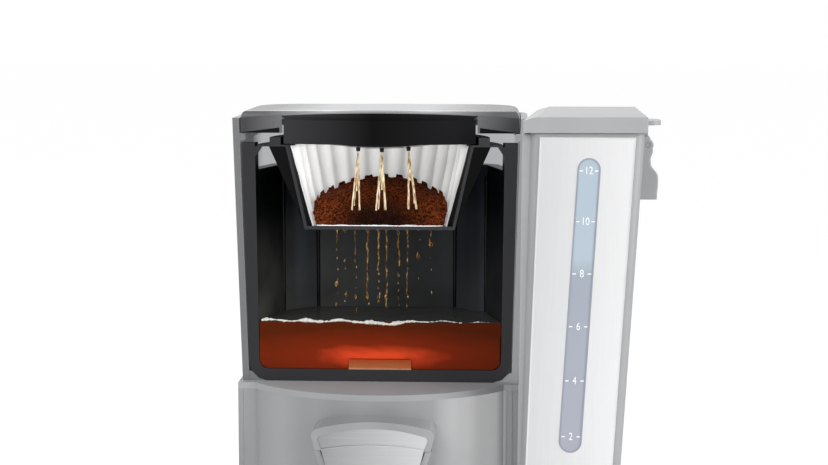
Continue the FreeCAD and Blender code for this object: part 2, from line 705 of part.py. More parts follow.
# Upper housing, sectioned
def shell_wire(z, inset, front):
    half = between(SHELL_HALF_BOTTOM, SHELL_HALF_TOP, DECK_TOP, SHELL_TOP, z) - inset
    back = between(SHELL_BACK_BOTTOM, SHELL_BACK_TOP, DECK_TOP, SHELL_TOP, z) - inset
    return d_wire(-half, half, front, back, SHELL_RADIUS - inset, z)


def shell_loft(z0, z1, inset, front):
    return loft([shell_wire(z0, inset, front), shell_wire(z1, inset, front)])


def rear_shell():
    """Outer housing behind the section, with a rail for the lid and ears for its hinge pin."""
    shell = shell_loft(DECK_TOP, SHELL_TOP, 0, 0).cut(shell_loft(DECK_TOP, SHELL_TOP, SHELL_WALL, -1))
    rail_top = LID_RIM_Z - SEAT_GAP
    rail_low = rail_top - RAIL_H
    rail = shell_loft(rail_low, rail_top, SHELL_WALL / 2, 0)
    shell = shell.fuse(rail.cut(shell_loft(rail_low, rail_top, SHELL_WALL + RAIL_W, -1)))
    gap_half = HINGE_HALF + MOVE_GAP
    shell = shell.cut(box(-gap_half, gap_half, LID_PIN_Y - SHELL_WALL, LID_PIN_Y + 2 * SHELL_WALL,
                          LID_PIN_Z - HINGE_BARREL_R - MOVE_GAP, SHELL_TOP))
    for side in (-1, 1):
        x0, x1 = sorted((side * gap_half, side * (gap_half + HINGE_EAR)))
        ear = box(x0, x1, LID_PIN_Y - HINGE_BARREL_R, LID_PIN_Y + HINGE_BARREL_R,
                  LID_PIN_Z - 2 * HINGE_BARREL_R, LID_PIN_Z)
        ear = ear.fuse(rod(x0, LID_PIN_Y, LID_PIN_Z, HINGE_BARREL_R, HINGE_EAR, V(1, 0, 0)))
        shell = shell.fuse(ear)
    return shell.cut(lid_hinge_pin())


def lid_hinge_pin():
    half = HINGE_HALF + MOVE_GAP + HINGE_EAR
    return rod(-half, LID_PIN_Y, LID_PIN_Z, HINGE_PIN_R, 2 * half, V(1, 0, 0))


# Coffee tank and its contents
def tank_outer_half(z):
    return between(TANK_HALF_BOTTOM, TANK_HALF_TOP, DECK_TOP, TANK_TOP, z)


def tank_inner_half(z):
    return between(TANK_IN_BOTTOM, TANK_IN_TOP, TANK_FLOOR, TANK_TOP, z)


def tank_wire(half, front, z):
    """Faceted plan, the corners scaled with the half width at the section."""
    scale = half / TANK_IN_TOP
    corners = ((TANK_IN_TOP - TANK_SIDE_IN, TANK_SIDE_Y), (TANK_IN_TOP - TANK_REAR_IN, TANK_REAR_Y))
    right = [(half, front)] + [(x * scale, y * scale) for x, y in corners]
    left = [(-x, y) for x, y in reversed(right)]
    return polygon([(x, y, z) for x, y in right + left])


def tank_loft(half_at, bottom, corner, front):
    """Tapered faceted body whose lower edge is rounded in four steps."""
    wires = []
    for step in range(4):
        turn = math.radians(30 * step)
        z = bottom + corner * (1 - math.cos(turn))
        wires.append(tank_wire(half_at(z) - corner * (1 - math.sin(turn)), front, z))
    wires.append(tank_wire(half_at(TANK_TOP), front, TANK_TOP))
    return loft(wires)


def coffee_tank():
    tank = tank_loft(tank_outer_half, DECK_TOP, TANK_CORNER, 0)
    tank = tank.cut(tank_loft(tank_inner_half, TANK_FLOOR, TANK_IN_CORNER, -1))
    tank = tank.cut(box(-TANK_HALF_TOP, TANK_HALF_TOP, TANK_RIB, BODY_BACK, TANK_REAR_TOP, TANK_TOP))
    lug_top = BASKET_TOP - BASKET_FLANGE_T
    wall = tank_inner_half(lug_top)
    for side in (-1, 1):
        lug = [(side * (wall + 1), lug_top - LUG_H), (side * (wall + 1), lug_top), (side * (wall - LUG_W), lug_top)]
        tank = tank.fuse(prism_xz(lug, 0, TANK_RIB))
    return tank.cut(rod(0, VALVE_Y, DECK_TOP, OUTLET_R, TANK_FLOOR_T))


def half_disc(radius, z0, z1):
    return Part.makeCylinder(radius, z1 - z0, V(0, 0, z0), V(0, 0, 1), 180)


def half_cone(r0, r1, z0, z1):
    return Part.makeCone(r0, r1, z1 - z0, V(0, 0, z0), V(0, 0, 1), 180)


def outlet_screen():
    return half_disc(SCREEN_R, TANK_FLOOR, TANK_FLOOR + SCREEN_H)


def brewed_coffee():
    cavity = tank_loft(tank_inner_half, TANK_FLOOR, TANK_IN_CORNER, -1)
    below = box(-TANK_HALF_TOP, TANK_HALF_TOP, 0, BODY_BACK, TANK_FLOOR, COFFEE_LEVEL)
    return cavity.common(below).cut(outlet_screen())


def basket_radius(z):
    neck_z = BASKET_TOP - BASKET_FLANGE_T
    return between(BASKET_FOOT_R, BASKET_NECK_R, BASKET_BOTTOM, neck_z, z)


def brew_basket():
    """Half cone with a wide flange, a collar round the drum, side gussets and two rear legs."""
    neck_z = BASKET_TOP - BASKET_FLANGE_T
    cone = half_cone(BASKET_FOOT_R, BASKET_NECK_R, BASKET_BOTTOM, neck_z)
    inner_neck = BASKET_NECK_R - BASKET_WALL
    basket = cone.fuse(half_disc(BASKET_FLANGE_R, neck_z, BASKET_TOP))
    basket = basket.fuse(half_disc(COLLAR_OUT_R, BASKET_TOP, BASKET_TOP + COLLAR_H))
    basket = basket.cut(half_disc(COLLAR_IN_R, BASKET_TOP, BASKET_TOP + COLLAR_H))
    low = BASKET_BOTTOM + 2 * BASKET_WALL
    for side in (-1, 1):
        wedge = [(side * (basket_radius(low) - BASKET_WALL / 2), low), (side * basket_radius(low), low),
                 (side * GUSSET_TOP_R, neck_z), (side * (BASKET_NECK_R - BASKET_WALL / 2), neck_z)]
        basket = basket.fuse(prism_xz(wedge, GUSSET_T / 3, GUSSET_T / 3 + GUSSET_T))
        rear = TANK_REAR_Y * tank_inner_half(TANK_REAR_TOP) / TANK_IN_TOP
        x0 = side * BASKET_LEG_X - BASKET_LEG_W / 2
        basket = basket.fuse(box(x0, x0 + BASKET_LEG_W, rear, rear + BASKET_LEG_W / 2, TANK_REAR_TOP, neck_z))
    basket = basket.cut(half_disc(inner_neck, neck_z, BASKET_TOP))
    basket = basket.cut(half_cone(basket_radius(BASKET_FLOOR) - BASKET_WALL, inner_neck, BASKET_FLOOR, neck_z))
    for x in DRIP_X:
        basket = basket.cut(rod(x, DRIP_Y, BASKET_BOTTOM, DRIP_HOLE_R, BASKET_FLOOR_T))
    return basket


def filter_wire(z, inset):
    """Half ring of pleats; every second corner is drawn in."""
    radius = between(FILTER_FOOT_R, FILTER_RIM_R, BASKET_FLOOR, FILTER_TOP, z) - inset
    pleat = between(PLEAT_FOOT, PLEAT_RIM, BASKET_FLOOR, FILTER_TOP, z)
    points = []
    for i in range(2 * FILTER_PLEATS + 1):
        turn = math.pi * i / (2 * FILTER_PLEATS)
        r = radius - pleat * (i % 2)
        points.append((r * math.cos(turn), max(r * math.sin(turn), 0.0), z))
    return polygon(points)


def filter_space(z0):
    return loft([filter_wire(z0, FILTER_T), filter_wire(FILTER_TOP, FILTER_T)])


def paper_filter():
    body = loft([filter_wire(BASKET_FLOOR, 0), filter_wire(FILTER_TOP, 0)])
    return body.cut(filter_space(BASKET_FLOOR + FILTER_T))


def coffee_grounds():
    floor = BASKET_FLOOR + FILTER_T
    reach = FILTER_RIM_R
    middle = floor + GROUNDS_FRONT + (GROUNDS_BACK - GROUNDS_FRONT) / 3
    heap = [(0, floor), (reach, floor), (reach, floor + GROUNDS_BACK), (reach / 2, middle),
            (0, floor + GROUNDS_FRONT)]
    return filter_space(floor).common(prism_yz(heap, -reach, reach))


def shower_sphere():
    radius = (SHOWER_R ** 2 + SHOWER_DROP ** 2) / (2 * SHOWER_DROP)
    middle = (DRUM_BACK - DRUM_BULGE) / 2
    return radius, V(0, middle, DRUM_BOTTOM - SHOWER_DROP + radius)


def shower_height(x, y):
    radius, centre = shower_sphere()
    away = math.hypot(x - centre.x, y - centre.y)
    return centre.z - math.sqrt(radius ** 2 - away ** 2)


def spray_tip(x):
    """Lower end of the nozzle above a jet."""
    return shower_height(x, JET_Y) - SPRAY_L


def water_jets():
    """Three jets that stand in the grounds and end just below the spray nozzles."""
    grounds = coffee_grounds()
    jets = []
    for x in JET_X:
        top = spray_tip(x) - MOVE_GAP
        jet = rod(x, JET_Y, BASKET_FLOOR + FILTER_T, JET_R, top - BASKET_FLOOR - FILTER_T)
        jets.append(jet.cut(grounds))
    return Part.makeCompound(jets)


def coffee_drips():
    """Thin strands from the basket's holes to the coffee, with a hanging drop at the top of each."""
    drips = []
    fall = BASKET_BOTTOM - COFFEE_LEVEL
    for i, x in enumerate(DRIP_X):
        strand = rod(x, DRIP_Y, COFFEE_LEVEL, DRIP_R, fall)
        hang = Part.makeCone(DRIP_R, DRIP_HOLE_R + DRIP_R, 2 * DROP_R, V(x, DRIP_Y, BASKET_BOTTOM - 2 * DROP_R))
        strand = strand.fuse(hang)
        for k in range(2):
            share = 0.2 + 0.35 * k + 0.05 * (i % 3)
            strand = strand.fuse(Part.makeSphere(DROP_R, V(x, DRIP_Y, BASKET_BOTTOM - share * fall)))
        drips.append(strand)
    return Part.makeCompound(drips)


# Lid over the tank
def crown_cylinder(sink):
    half = SHELL_INNER_TOP - LID_GAP
    radius = (half ** 2 + LID_CROWN ** 2) / (2 * LID_CROWN)
    return rod(0, -SHELL_BACK_TOP, LID_TOP - radius, radius - sink, 3 * SHELL_BACK_TOP, V(0, 1, 0))


def lid_prism(inset, front, z0):
    half = SHELL_INNER_TOP - LID_GAP - inset
    back = SHELL_BACK_TOP - SHELL_WALL - LID_GAP - inset
    return d_prism(-half, half, front, back, SHELL_RADIUS - SHELL_WALL - LID_GAP - inset, z0, LID_TOP)


def drum_plan(half, bulge, back, z0, z1):
    wire = outline(((-half, 0, z0), (0, -bulge, z0), (half, 0, z0)),
                   ((half, 0, z0), (0, back, z0), (-half, 0, z0)))
    return Part.Face(wire).extrude(V(0, 0, z1 - z0))


def brew_lid():
    lid = lid_prism(0, 0, LID_RIM_Z).common(crown_cylinder(0))
    lid = lid.cut(lid_prism(LID_WALL, LID_WALL, LID_RIM_Z).common(crown_cylinder(LID_WALL)))
    drum_half = DRUM_HALF + DRUM_FLANGE
    lid = lid.cut(box(-drum_half, drum_half, 0, LID_WALL, LID_RIM_Z, LID_TOP))
    lid_back = SHELL_BACK_TOP - SHELL_WALL - LID_GAP
    for side in (-1, 1):
        x0, x1 = sorted((side * HINGE_HALF, side * (HINGE_HALF + HINGE_EAR + 2 * MOVE_GAP)))
        lid = lid.cut(box(x0, x1, LID_PIN_Y - HINGE_BARREL_R - MOVE_GAP, LID_PIN_Y, LID_RIM_Z, LID_TOP))
    tongue = box(-HINGE_HALF, HINGE_HALF, lid_back - LID_WALL, LID_PIN_Y,
                 LID_PIN_Z - LID_WALL, LID_PIN_Z + HINGE_PIN_R)
    barrel = rod(-HINGE_HALF, LID_PIN_Y, LID_PIN_Z, HINGE_BARREL_R, 2 * HINGE_HALF, V(1, 0, 0))
    lid = lid.fuse(tongue).fuse(barrel)
    return lid.cut(rod(-HINGE_HALF, LID_PIN_Y, LID_PIN_Z, HINGE_PIN_R + RUN_FIT, 2 * HINGE_HALF, V(1, 0, 0)))


def shower_drum():
    """Water chamber under the lid; its front stands out of the section, its duct leads to the riser."""
    chamber = drum_plan(DRUM_HALF, DRUM_BULGE, DRUM_BACK, DRUM_BOTTOM, LID_TOP)
    front_half = box(-2 * DRUM_HALF, 2 * DRUM_HALF, -2 * DRUM_BULGE, LID_WALL, DRUM_BOTTOM, LID_TOP)
    flange_low = LID_TOP - LID_WALL / 3 - DRUM_FLANGE_T
    flange = drum_plan(DRUM_HALF + DRUM_FLANGE, DRUM_BULGE + DRUM_FLANGE, DRUM_BACK, flange_low, LID_TOP)
    groove = drum_plan(DRUM_HALF + 1, DRUM_BULGE + 1, DRUM_BACK, flange_low - 2 * DRUM_GROOVE,
                       flange_low - DRUM_GROOVE)
    groove = groove.cut(drum_plan(DRUM_HALF - DRUM_GROOVE, DRUM_BULGE - DRUM_GROOVE, DRUM_BACK,
                                  flange_low - 2 * DRUM_GROOVE, flange_low - DRUM_GROOVE))
    front = chamber.fuse(flange).cut(groove).common(front_half).common(crown_cylinder(LID_WALL / 3))
    rear = chamber.cut(front_half).common(crown_cylinder(LID_WALL))
    duct = box(-HEATER_LEG_X - DUCT_HALF, -HEATER_LEG_X + DUCT_HALF, DRUM_BACK / 2, RISER_Y + DUCT_HALF,
               LID_RIM_Z, LID_TOP).common(crown_cylinder(LID_WALL))
    drum = front.fuse(rear).fuse(duct)
    return drum.cut(rod(-HEATER_LEG_X, RISER_Y, LID_RIM_Z, RISER_BORE, LID_WALL))


def shower_plate():
    radius, centre = shower_sphere()
    low = DRUM_BOTTOM - SHOWER_DROP
    under = drum_plan(DRUM_HALF - SHOWER_MARGIN, DRUM_BULGE - SHOWER_MARGIN / 2, DRUM_BACK - SHOWER_MARGIN,
                      low - 1, DRUM_BOTTOM)
    plate = Part.makeSphere(radius, centre).common(under)
    for x in JET_X:
        tip = spray_tip(x)
        plate = plate.fuse(Part.makeCone(JET_R, SPRAY_R, DRUM_BOTTOM - tip, V(x, JET_Y, tip)))
    return plate


# Water reservoir
def res_left(z):
    return between(RES_LEFT_BOTTOM, RES_LEFT_TOP, RES_BOTTOM, RES_TOP, z)


def res_right(z):
    return between(RES_RIGHT_BOTTOM, RES_RIGHT_TOP, RES_BOTTOM, RES_TOP, z)


def round_wire(x0, x1, y0, y1, radius, z):
    reach = radius * (1 - math.sqrt(0.5))
    return outline(
        ((x0, y0 + radius, z), (x0, y1 - radius, z)),
        ((x0, y1 - radius, z), (x0 + reach, y1 - reach, z), (x0 + radius, y1, z)),
        ((x0 + radius, y1, z), (x1 - radius, y1, z)),
        ((x1 - radius, y1, z), (x1 - reach, y1 - reach, z), (x1, y1 - radius, z)),
        ((x1, y1 - radius, z), (x1, y0 + radius, z)),
        ((x1, y0 + radius, z), (x1 - reach, y0 + reach, z), (x1 - radius, y0, z)),
        ((x1 - radius, y0, z), (x0 + radius, y0, z)),
        ((x0 + radius, y0, z), (x0 + reach, y0 + reach, z), (x0, y0 + radius, z)),
    )


def res_loft(z0, z1, inset):
    wires = []
    for z in (z0, z1):
        wires.append(round_wire(res_left(z) + inset, res_right(z) - inset, RES_FRONT + inset, RES_BACK - inset,
                                RES_RADIUS - inset, z))
    return loft(wires)


def window_slot(grow, y0, y1):
    """Slanted slot with round ends, extruded along y."""
    half = WINDOW_W / 2
    low = V(res_right(WINDOW_LOW + half) - WINDOW_IN, y0, WINDOW_LOW + half)
    high = V(res_right(WINDOW_HIGH - half) - WINDOW_IN, y0, WINDOW_HIGH - half)
    along = (high - low).normalize()
    side = V(along.z, 0, -along.x) * (half + grow)
    tip = along * (half + grow)
    wire = outline((low - side, high - side), (high - side, high + tip, high + side),
                   (high + side, low + side), (low + side, low - tip, low - side))
    return Part.Face(wire).extrude(V(0, y1 - y0, 0))


def reservoir_tank():
    tank = res_loft(RES_BOTTOM, RES_TOP, 0)
    tank = tank.cut(res_loft(RES_BOTTOM + RES_WALL, RES_TOP, RES_WALL))
    tank = tank.fuse(rod(RES_OUTLET_X, RES_MID_Y, RES_BOTTOM, RES_BOSS_R, RES_BOSS_H))
    tank = tank.cut(rod(RES_OUTLET_X, RES_MID_Y, RES_BOTTOM, SPIGOT_R + MOVE_GAP, RES_BOSS_H))
    return tank.cut(window_slot(0, RES_FRONT, RES_FRONT + RES_WALL))


def reservoir_cap():
    """Outlet cover that sits on the boss; its stem reaches down towards the spigot."""
    top = RES_BOTTOM + RES_BOSS_H
    stem_low = RES_BOTTOM + SPIGOT_H + 2 * MOVE_GAP
    stem = rod(RES_OUTLET_X, RES_MID_Y, stem_low, SPIGOT_R / 2, top - stem_low)
    return rod(RES_OUTLET_X, RES_MID_Y, top, RES_CAP_R, RES_CAP_T).fuse(stem)


def steel_panel():
    low = RES_BOTTOM + PANEL_BOTTOM_MARGIN
    high = RES_TOP - PANEL_TOP_MARGIN
    corners = [(res_left(low) + PANEL_MARGIN_LEFT, low), (res_right(low) - PANEL_MARGIN_RIGHT, low),
               (res_right(high) - PANEL_MARGIN_RIGHT, high), (res_left(high) + PANEL_MARGIN_LEFT, high)]
    panel = prism_xz(corners, RES_FRONT - PANEL_T, RES_FRONT)
    across = [e for e in panel.Edges if abs(e.tangentAt(e.FirstParameter).y) > 0.9]
    panel = panel.makeFillet(PANEL_RADIUS, across)
    return panel.cut(window_slot(0, RES_FRONT - PANEL_T, RES_FRONT))


def water_window():
    return window_slot(-SET_GAP, RES_FRONT - PANEL_T - WINDOW_PROUD, RES_FRONT + RES_WALL)


def res_pin_x():
    return res_right(RES_PIN_Z) + RES_BARREL_R + MOVE_GAP


def reservoir_handle():
    """Open-bottomed grip at the side, with two lugs for the hinge pin of the lid."""
    low = res_right(HANDLE_BOTTOM)
    high = res_right(HANDLE_TOP)
    belly_z = (2 * HANDLE_BOTTOM + HANDLE_TOP) / 3
    y0 = RES_MID_Y - HANDLE_HALF
    corner = (high + HANDLE_REACH / 2, y0, HANDLE_TOP)
    toe = (low + HANDLE_REACH, y0, HANDLE_BOTTOM)
    belly = (res_right(belly_z) + HANDLE_REACH, y0, belly_z)
    profile = outline(((low, y0, HANDLE_BOTTOM), (high, y0, HANDLE_TOP)), ((high, y0, HANDLE_TOP), corner),
                      (corner, belly, toe), (toe, (low, y0, HANDLE_BOTTOM)))
    grip = Part.Face(profile).extrude(V(0, 2 * HANDLE_HALF, 0))
    pin_x = res_pin_x()
    grip = grip.fuse(rod(pin_x, y0, RES_PIN_Z, RES_BARREL_R, 2 * HANDLE_HALF, V(0, 1, 0)))
    roof = RES_PIN_Z - RES_BARREL_R - 2 * HANDLE_WALL
    space = HANDLE_REACH - HANDLE_WALL
    hollow = [(low, HANDLE_BOTTOM), (low + space, HANDLE_BOTTOM),
              (res_right(roof) + space - HANDLE_WALL, roof), (res_right(roof), roof)]
    grip = grip.cut(prism_xz(hollow, y0 + HANDLE_WALL, y0 + 2 * HANDLE_HALF - HANDLE_WALL))
    slot_half = RES_EAR_HALF + MOVE_GAP
    slot_low = RES_PIN_Z - RES_BARREL_R - MOVE_GAP
    grip = grip.cut(box(low - 1, high + 2 * HANDLE_REACH, RES_MID_Y - slot_half, RES_MID_Y + slot_half,
                        slot_low, HANDLE_TOP))
    return grip.cut(reservoir_hinge_pin())


def reservoir_hinge_pin():
    return rod(res_pin_x(), RES_MID_Y - HANDLE_HALF, RES_PIN_Z, RES_PIN_R, 2 * HANDLE_HALF, V(0, 1, 0))


def lid_frustum(z0, inset, height):
    """Low hip-edged block: an upright rim and four sloping sides."""
    x0 = RES_LEFT_TOP - RES_LID_OVERHANG + inset
    x1 = RES_RIGHT_TOP + RES_LID_OVERHANG - inset
    y0 = RES_FRONT - PANEL_T - RES_LID_OVERHANG + inset
    y1 = RES_BACK + RES_LID_OVERHANG - inset
    wires = []
    for z, hip in ((z0, 0), (z0 + RES_LID_EDGE, 0), (z0 + height, RES_LID_HIP)):
        wires.append(polygon([(x0 + hip, y0 + hip, z), (x1 - hip, y0 + hip, z),
                              (x1 - hip, y1 - hip, z), (x0 + hip, y1 - hip, z)]))
    return loft(wires)


def reservoir_lid():
    """Hip-edged cover with a thumb tab and an ear that goes down to the hinge pin."""
    z0 = RES_TOP + SEAT_GAP
    lid = lid_frustum(z0, 0, RES_LID_H)
    lid = lid.cut(lid_frustum(z0, RES_LID_WALL, RES_LID_H - RES_LID_WALL))
    edge = RES_RIGHT_TOP + RES_LID_OVERHANG
    pin_x = res_pin_x()
    ear_y0 = RES_MID_Y - RES_EAR_HALF
    ear_y1 = RES_MID_Y + RES_EAR_HALF
    ear = box(RES_RIGHT_TOP + MOVE_GAP, pin_x + RES_PIN_R, ear_y0, ear_y1, RES_PIN_Z, z0 + RES_LID_EDGE)
    barrel = rod(pin_x, ear_y0, RES_PIN_Z, RES_BARREL_R, 2 * RES_EAR_HALF, V(0, 1, 0))
    tab_z = z0 + RES_LID_EDGE - TAB_T / 3
    tab = box(edge - RES_LID_WALL, edge + TAB_REACH, RES_MID_Y - TAB_HALF, RES_MID_Y + TAB_HALF,
              tab_z, tab_z + TAB_T)
    tip = [e for e in tab.Edges if abs(e.tangentAt(e.FirstParameter).z) > 0.9 and e.CenterOfMass.x > edge]
    lid = lid.fuse(ear.fuse(barrel)).fuse(tab.makeFillet(TAB_REACH / 2, tip))
    return lid.cut(rod(pin_x, ear_y0, RES_PIN_Z, RES_PIN_R + RUN_FIT, 2 * RES_EAR_HALF, V(0, 1, 0)))


def reservoir_dock():
    """Plate on the base with a spigot that enters the reservoir and an elbow below."""
    x0 = RES_LEFT_BOTTOM + DOCK_MARGIN
    x1 = RES_RIGHT_BOTTOM - DOCK_MARGIN
    plate = rounded_box(x0, x1, RES_FRONT + DOCK_MARGIN, RES_BACK - DOCK_MARGIN, BASE_TOP, BASE_TOP + DOCK_T,
                        RES_RADIUS)
    low = HOSE_Z - HOSE_R - BASE_WALL
    elbow = rod(RES_OUTLET_X, RES_MID_Y, low, SPIGOT_R, RES_BOTTOM + SPIGOT_H - low)
    bore = rod(RES_OUTLET_X, RES_MID_Y, HOSE_Z, HOSE_BORE, RES_BOTTOM + SPIGOT_H - HOSE_Z)
    return plate.fuse(elbow).cut(bore)


# Dispenser and valve
def arch(half, shoulder, top, bottom, corner, y0, y1):
    """Shield outline with a curved top, sides that draw in below and round upper corners, extruded along y."""
    foot = half - HOOD_TAPER
    wire = outline(((-foot, y0, bottom), (-half, y0, shoulder)),
                   ((-half, y0, shoulder), (0, y0, top), (half, y0, shoulder)),
                   ((half, y0, shoulder), (foot, y0, bottom)), ((foot, y0, bottom), (-foot, y0, bottom)))
    block = Part.Face(wire).extrude(V(0, y1 - y0, 0))
    upper = [e for e in block.Edges
             if abs(e.tangentAt(e.FirstParameter).y) > 0.9 and e.CenterOfMass.z > (bottom + shoulder) / 2]
    return block.makeFillet(corner, upper)


def hood_inner(shrink, bottom, y0, y1):
    drop = HOOD_WALL + shrink
    return arch(HOOD_HALF - drop, HOOD_SHOULDER - drop, HOOD_TOP - drop, bottom, HOOD_CORNER - drop / 2, y0, y1)


def dispenser_hood():
    """Arched hood on the convex front, open below for the lever and the nozzle."""
    hood = arch(HOOD_HALF, HOOD_SHOULDER, HOOD_TOP, HOOD_BOTTOM, HOOD_CORNER, HOOD_FRONT, LEVER_PIN_Y)
    hood = hood.cut(hood_inner(0, HOOD_BOTTOM, HOOD_FRONT, LEVER_PIN_Y))
    return hood.cut(front_cylinder(FRONT_RADIUS, HOOD_BOTTOM, HOOD_TOP))


def dispenser_cap():
    y0 = HOOD_FRONT + CAP_SET
    return hood_inner(SET_GAP, HOOD_BOTTOM, y0, y0 + CAP_T)


def dispense_lever():
    """Paddle that a cup pushes back; a forked arm behind the pin lifts the valve stem."""
    top = LEVER_PIN_Z + LEVER_T / 2
    low = LEVER_PIN_Z - LEVER_T / 2
    paddle = prism_xz([(-LEVER_HALF_BOTTOM, LEVER_BOTTOM), (LEVER_HALF_BOTTOM, LEVER_BOTTOM),
                       (LEVER_HALF_TOP, top), (-LEVER_HALF_TOP, top)], LEVER_FACE_Y, LEVER_FACE_Y + LEVER_T)
    toe = [e for e in paddle.Edges
           if abs(e.tangentAt(e.FirstParameter).y) > 0.9 and e.CenterOfMass.z < LEVER_BOTTOM + 1]
    paddle = paddle.makeFillet(LEVER_HALF_BOTTOM * 0.8, toe)
    bridge = box(-LEVER_HALF_TOP, LEVER_HALF_TOP, LEVER_FACE_Y, LEVER_PIN_Y, low, top)
    hub = rod(-LEVER_HALF_TOP, LEVER_PIN_Y, LEVER_PIN_Z, LEVER_HUB_R, 2 * LEVER_HALF_TOP, V(1, 0, 0))
    tip = VALVE_Y + ARM_HALF
    arm = box(-ARM_HALF, ARM_HALF, LEVER_PIN_Y, tip, low, top)
    slot = STEM_R + 2 * MOVE_GAP
    arm = arm.cut(box(-slot, slot, VALVE_Y - slot, tip, low, top))
    lever = paddle.fuse(bridge).fuse(hub).fuse(arm)
    bore = rod(-LEVER_HALF_TOP, LEVER_PIN_Y, LEVER_PIN_Z, LEVER_PIN_R + RUN_FIT, 2 * LEVER_HALF_TOP, V(1, 0, 0))
    return lever.cut(bore).removeSplitter()


def valve_body():
    body = rod(0, VALVE_Y, VALVE_BOTTOM, VALVE_R, DECK_TOP - VALVE_BOTTOM)
    room = VALVE_R - VALVE_WALL
    body = body.cut(rod(0, VALVE_Y, VALVE_SEAT_Z, room, DECK_TOP - VALVE_SEAT_Z))
    chamber_low = VALVE_BOTTOM + VALVE_WALL
    body = body.cut(rod(0, VALVE_Y, chamber_low, room, VALVE_SEAT_Z - VALVE_WALL - chamber_low))
    body = body.cut(rod(0, VALVE_Y, VALVE_SEAT_Z - VALVE_WALL, 2 * STEM_R, VALVE_WALL))
    body = body.cut(rod(0, VALVE_Y, VALVE_BOTTOM, STEM_R + RUN_FIT, VALVE_WALL))
    return body.cut(rod(0, VALVE_Y, DUCT_Z, NOZZLE_BORE, VALVE_R, V(0, -1, 0)))


def valve_seal():
    return ring(0, VALVE_Y, VALVE_SEAT_Z + SEAT_GAP, VALVE_HEAD_R, STEM_R, VALVE_SEAL_T)


def valve_plunger():
    head_z = VALVE_SEAT_Z + SEAT_GAP + VALVE_SEAL_T
    stem_low = LEVER_PIN_Z - 2 * LEVER_T
    collar_z = LEVER_PIN_Z + LEVER_T / 2 + FORK_GAP
    stem = rod(0, VALVE_Y, stem_low, STEM_R, head_z - stem_low)
    collar = rod(0, VALVE_Y, collar_z, COLLAR_R, COLLAR_T)
    return stem.fuse(collar).fuse(rod(0, VALVE_Y, head_z, VALVE_HEAD_R, VALVE_HEAD_T))


def outlet_duct():
    path = [(0, VALVE_Y, DUCT_Z), (0, NOZZLE_Y, DUCT_Z), (0, NOZZLE_Y, NOZZLE_BOTTOM)]
    duct = hollow_pipe(path, 2 * NOZZLE_R, NOZZLE_R, NOZZLE_BORE)
    return duct.cut(rod(0, VALVE_Y, VALVE_BOTTOM, VALVE_R, DECK_TOP - VALVE_BOTTOM))


# Heater and water way
def warming_plate():
    return box(-WARM_HALF + SET_GAP, WARM_HALF - SET_GAP, WARM_FRONT + SET_GAP, WARM_BACK - SET_GAP,
               DECK_TOP - WARM_T, DECK_TOP)


def flow_heater():
    """U-shaped water tube cast to a saddle that warms the plate under the tank."""
    legs = [(HEATER_LEG_X, HEATER_END_Y, HEATER_Z), (HEATER_LEG_X, HEATER_BEND_Y, HEATER_Z),
            (-HEATER_LEG_X, HEATER_BEND_Y, HEATER_Z), (-HEATER_LEG_X, HEATER_END_Y, HEATER_Z)]
    tube = pipe(legs, 2 * HEATER_R, HEATER_R)
    half = WARM_HALF - WARM_LEDGE - MOVE_GAP
    top = DECK_TOP - WARM_T
    saddle = box(-half, half, WARM_FRONT + WARM_LEDGE + MOVE_GAP, WARM_BACK - WARM_LEDGE - MOVE_GAP,
                 top - SADDLE_T, top)
    return tube.fuse(saddle)


def heater_underside():
    return DECK_TOP - WARM_T - SADDLE_T


def thermostat():
    y = HEATER_BEND_Y + HEATER_R + SENSOR_R + MOVE_GAP
    return rod(0, y, heater_underside() - SENSOR_T, SENSOR_R, SENSOR_T)


def thermal_fuse():
    y = WARM_BACK - WARM_LEDGE - 2 * FUSE_R
    return rod(-FUSE_L / 2, y, heater_underside() - FUSE_R, FUSE_R, FUSE_L, V(1, 0, 0))


def riser_tube():
    path = [(-HEATER_LEG_X, HEATER_END_Y, HEATER_Z), (-HEATER_LEG_X, RISER_Y, HEATER_Z),
            (-HEATER_LEG_X, RISER_Y, LID_RIM_Z - RISER_TOP_GAP)]
    return hollow_pipe(path, RISER_BEND, RISER_R, RISER_BORE)


def inlet_hose():
    """From the dock through the base and up to the heater, in two lengths."""
    path = [(RES_OUTLET_X, RES_MID_Y, HOSE_Z), (HEATER_LEG_X, RES_MID_Y, HOSE_Z), (HEATER_LEG_X, RISER_Y, HOSE_Z),
            (HEATER_LEG_X, RISER_Y, HEATER_Z), (HEATER_LEG_X, HEATER_END_Y, HEATER_Z)]
    hose = hollow_pipe(path, HOSE_BEND, HOSE_R, HOSE_BORE)
    hose = hose.cut(rod(RES_OUTLET_X, RES_MID_Y, HOSE_Z - 2 * HOSE_R, SPIGOT_R, 4 * HOSE_R))
    return hose.cut(rod(HEATER_LEG_X, RISER_Y, CHECK_LOW, CHECK_R, CHECK_HIGH - CHECK_LOW))


def check_valve():
    return ring(HEATER_LEG_X, RISER_Y, CHECK_LOW, CHECK_R, HOSE_BORE, CHECK_HIGH - CHECK_LOW)


# Controls
def control_front():
    return BASE_SHOULDER - CONTROL_PROUD


def control_back():
    return BASE_SHOULDER + BASE_WALL


def control_middle():
    return (CONTROL_LOW + CONTROL_HIGH) / 2


def button_places():
    last = CONTROL_RIGHT - BUTTON_PITCH * 0.7
    return [last - i * BUTTON_PITCH for i in reversed(range(BUTTON_COUNT))]


def lens_left():
    return CONTROL_LEFT + (button_places()[0] - BUTTON_PITCH / 2 - CONTROL_LEFT - LENS_W) / 2


def board_front():
    button_rear = control_back() + MOVE_GAP + BUTTON_RIM_T
    return button_rear + BUTTON_TRAVEL + MOVE_GAP + SWITCH_H


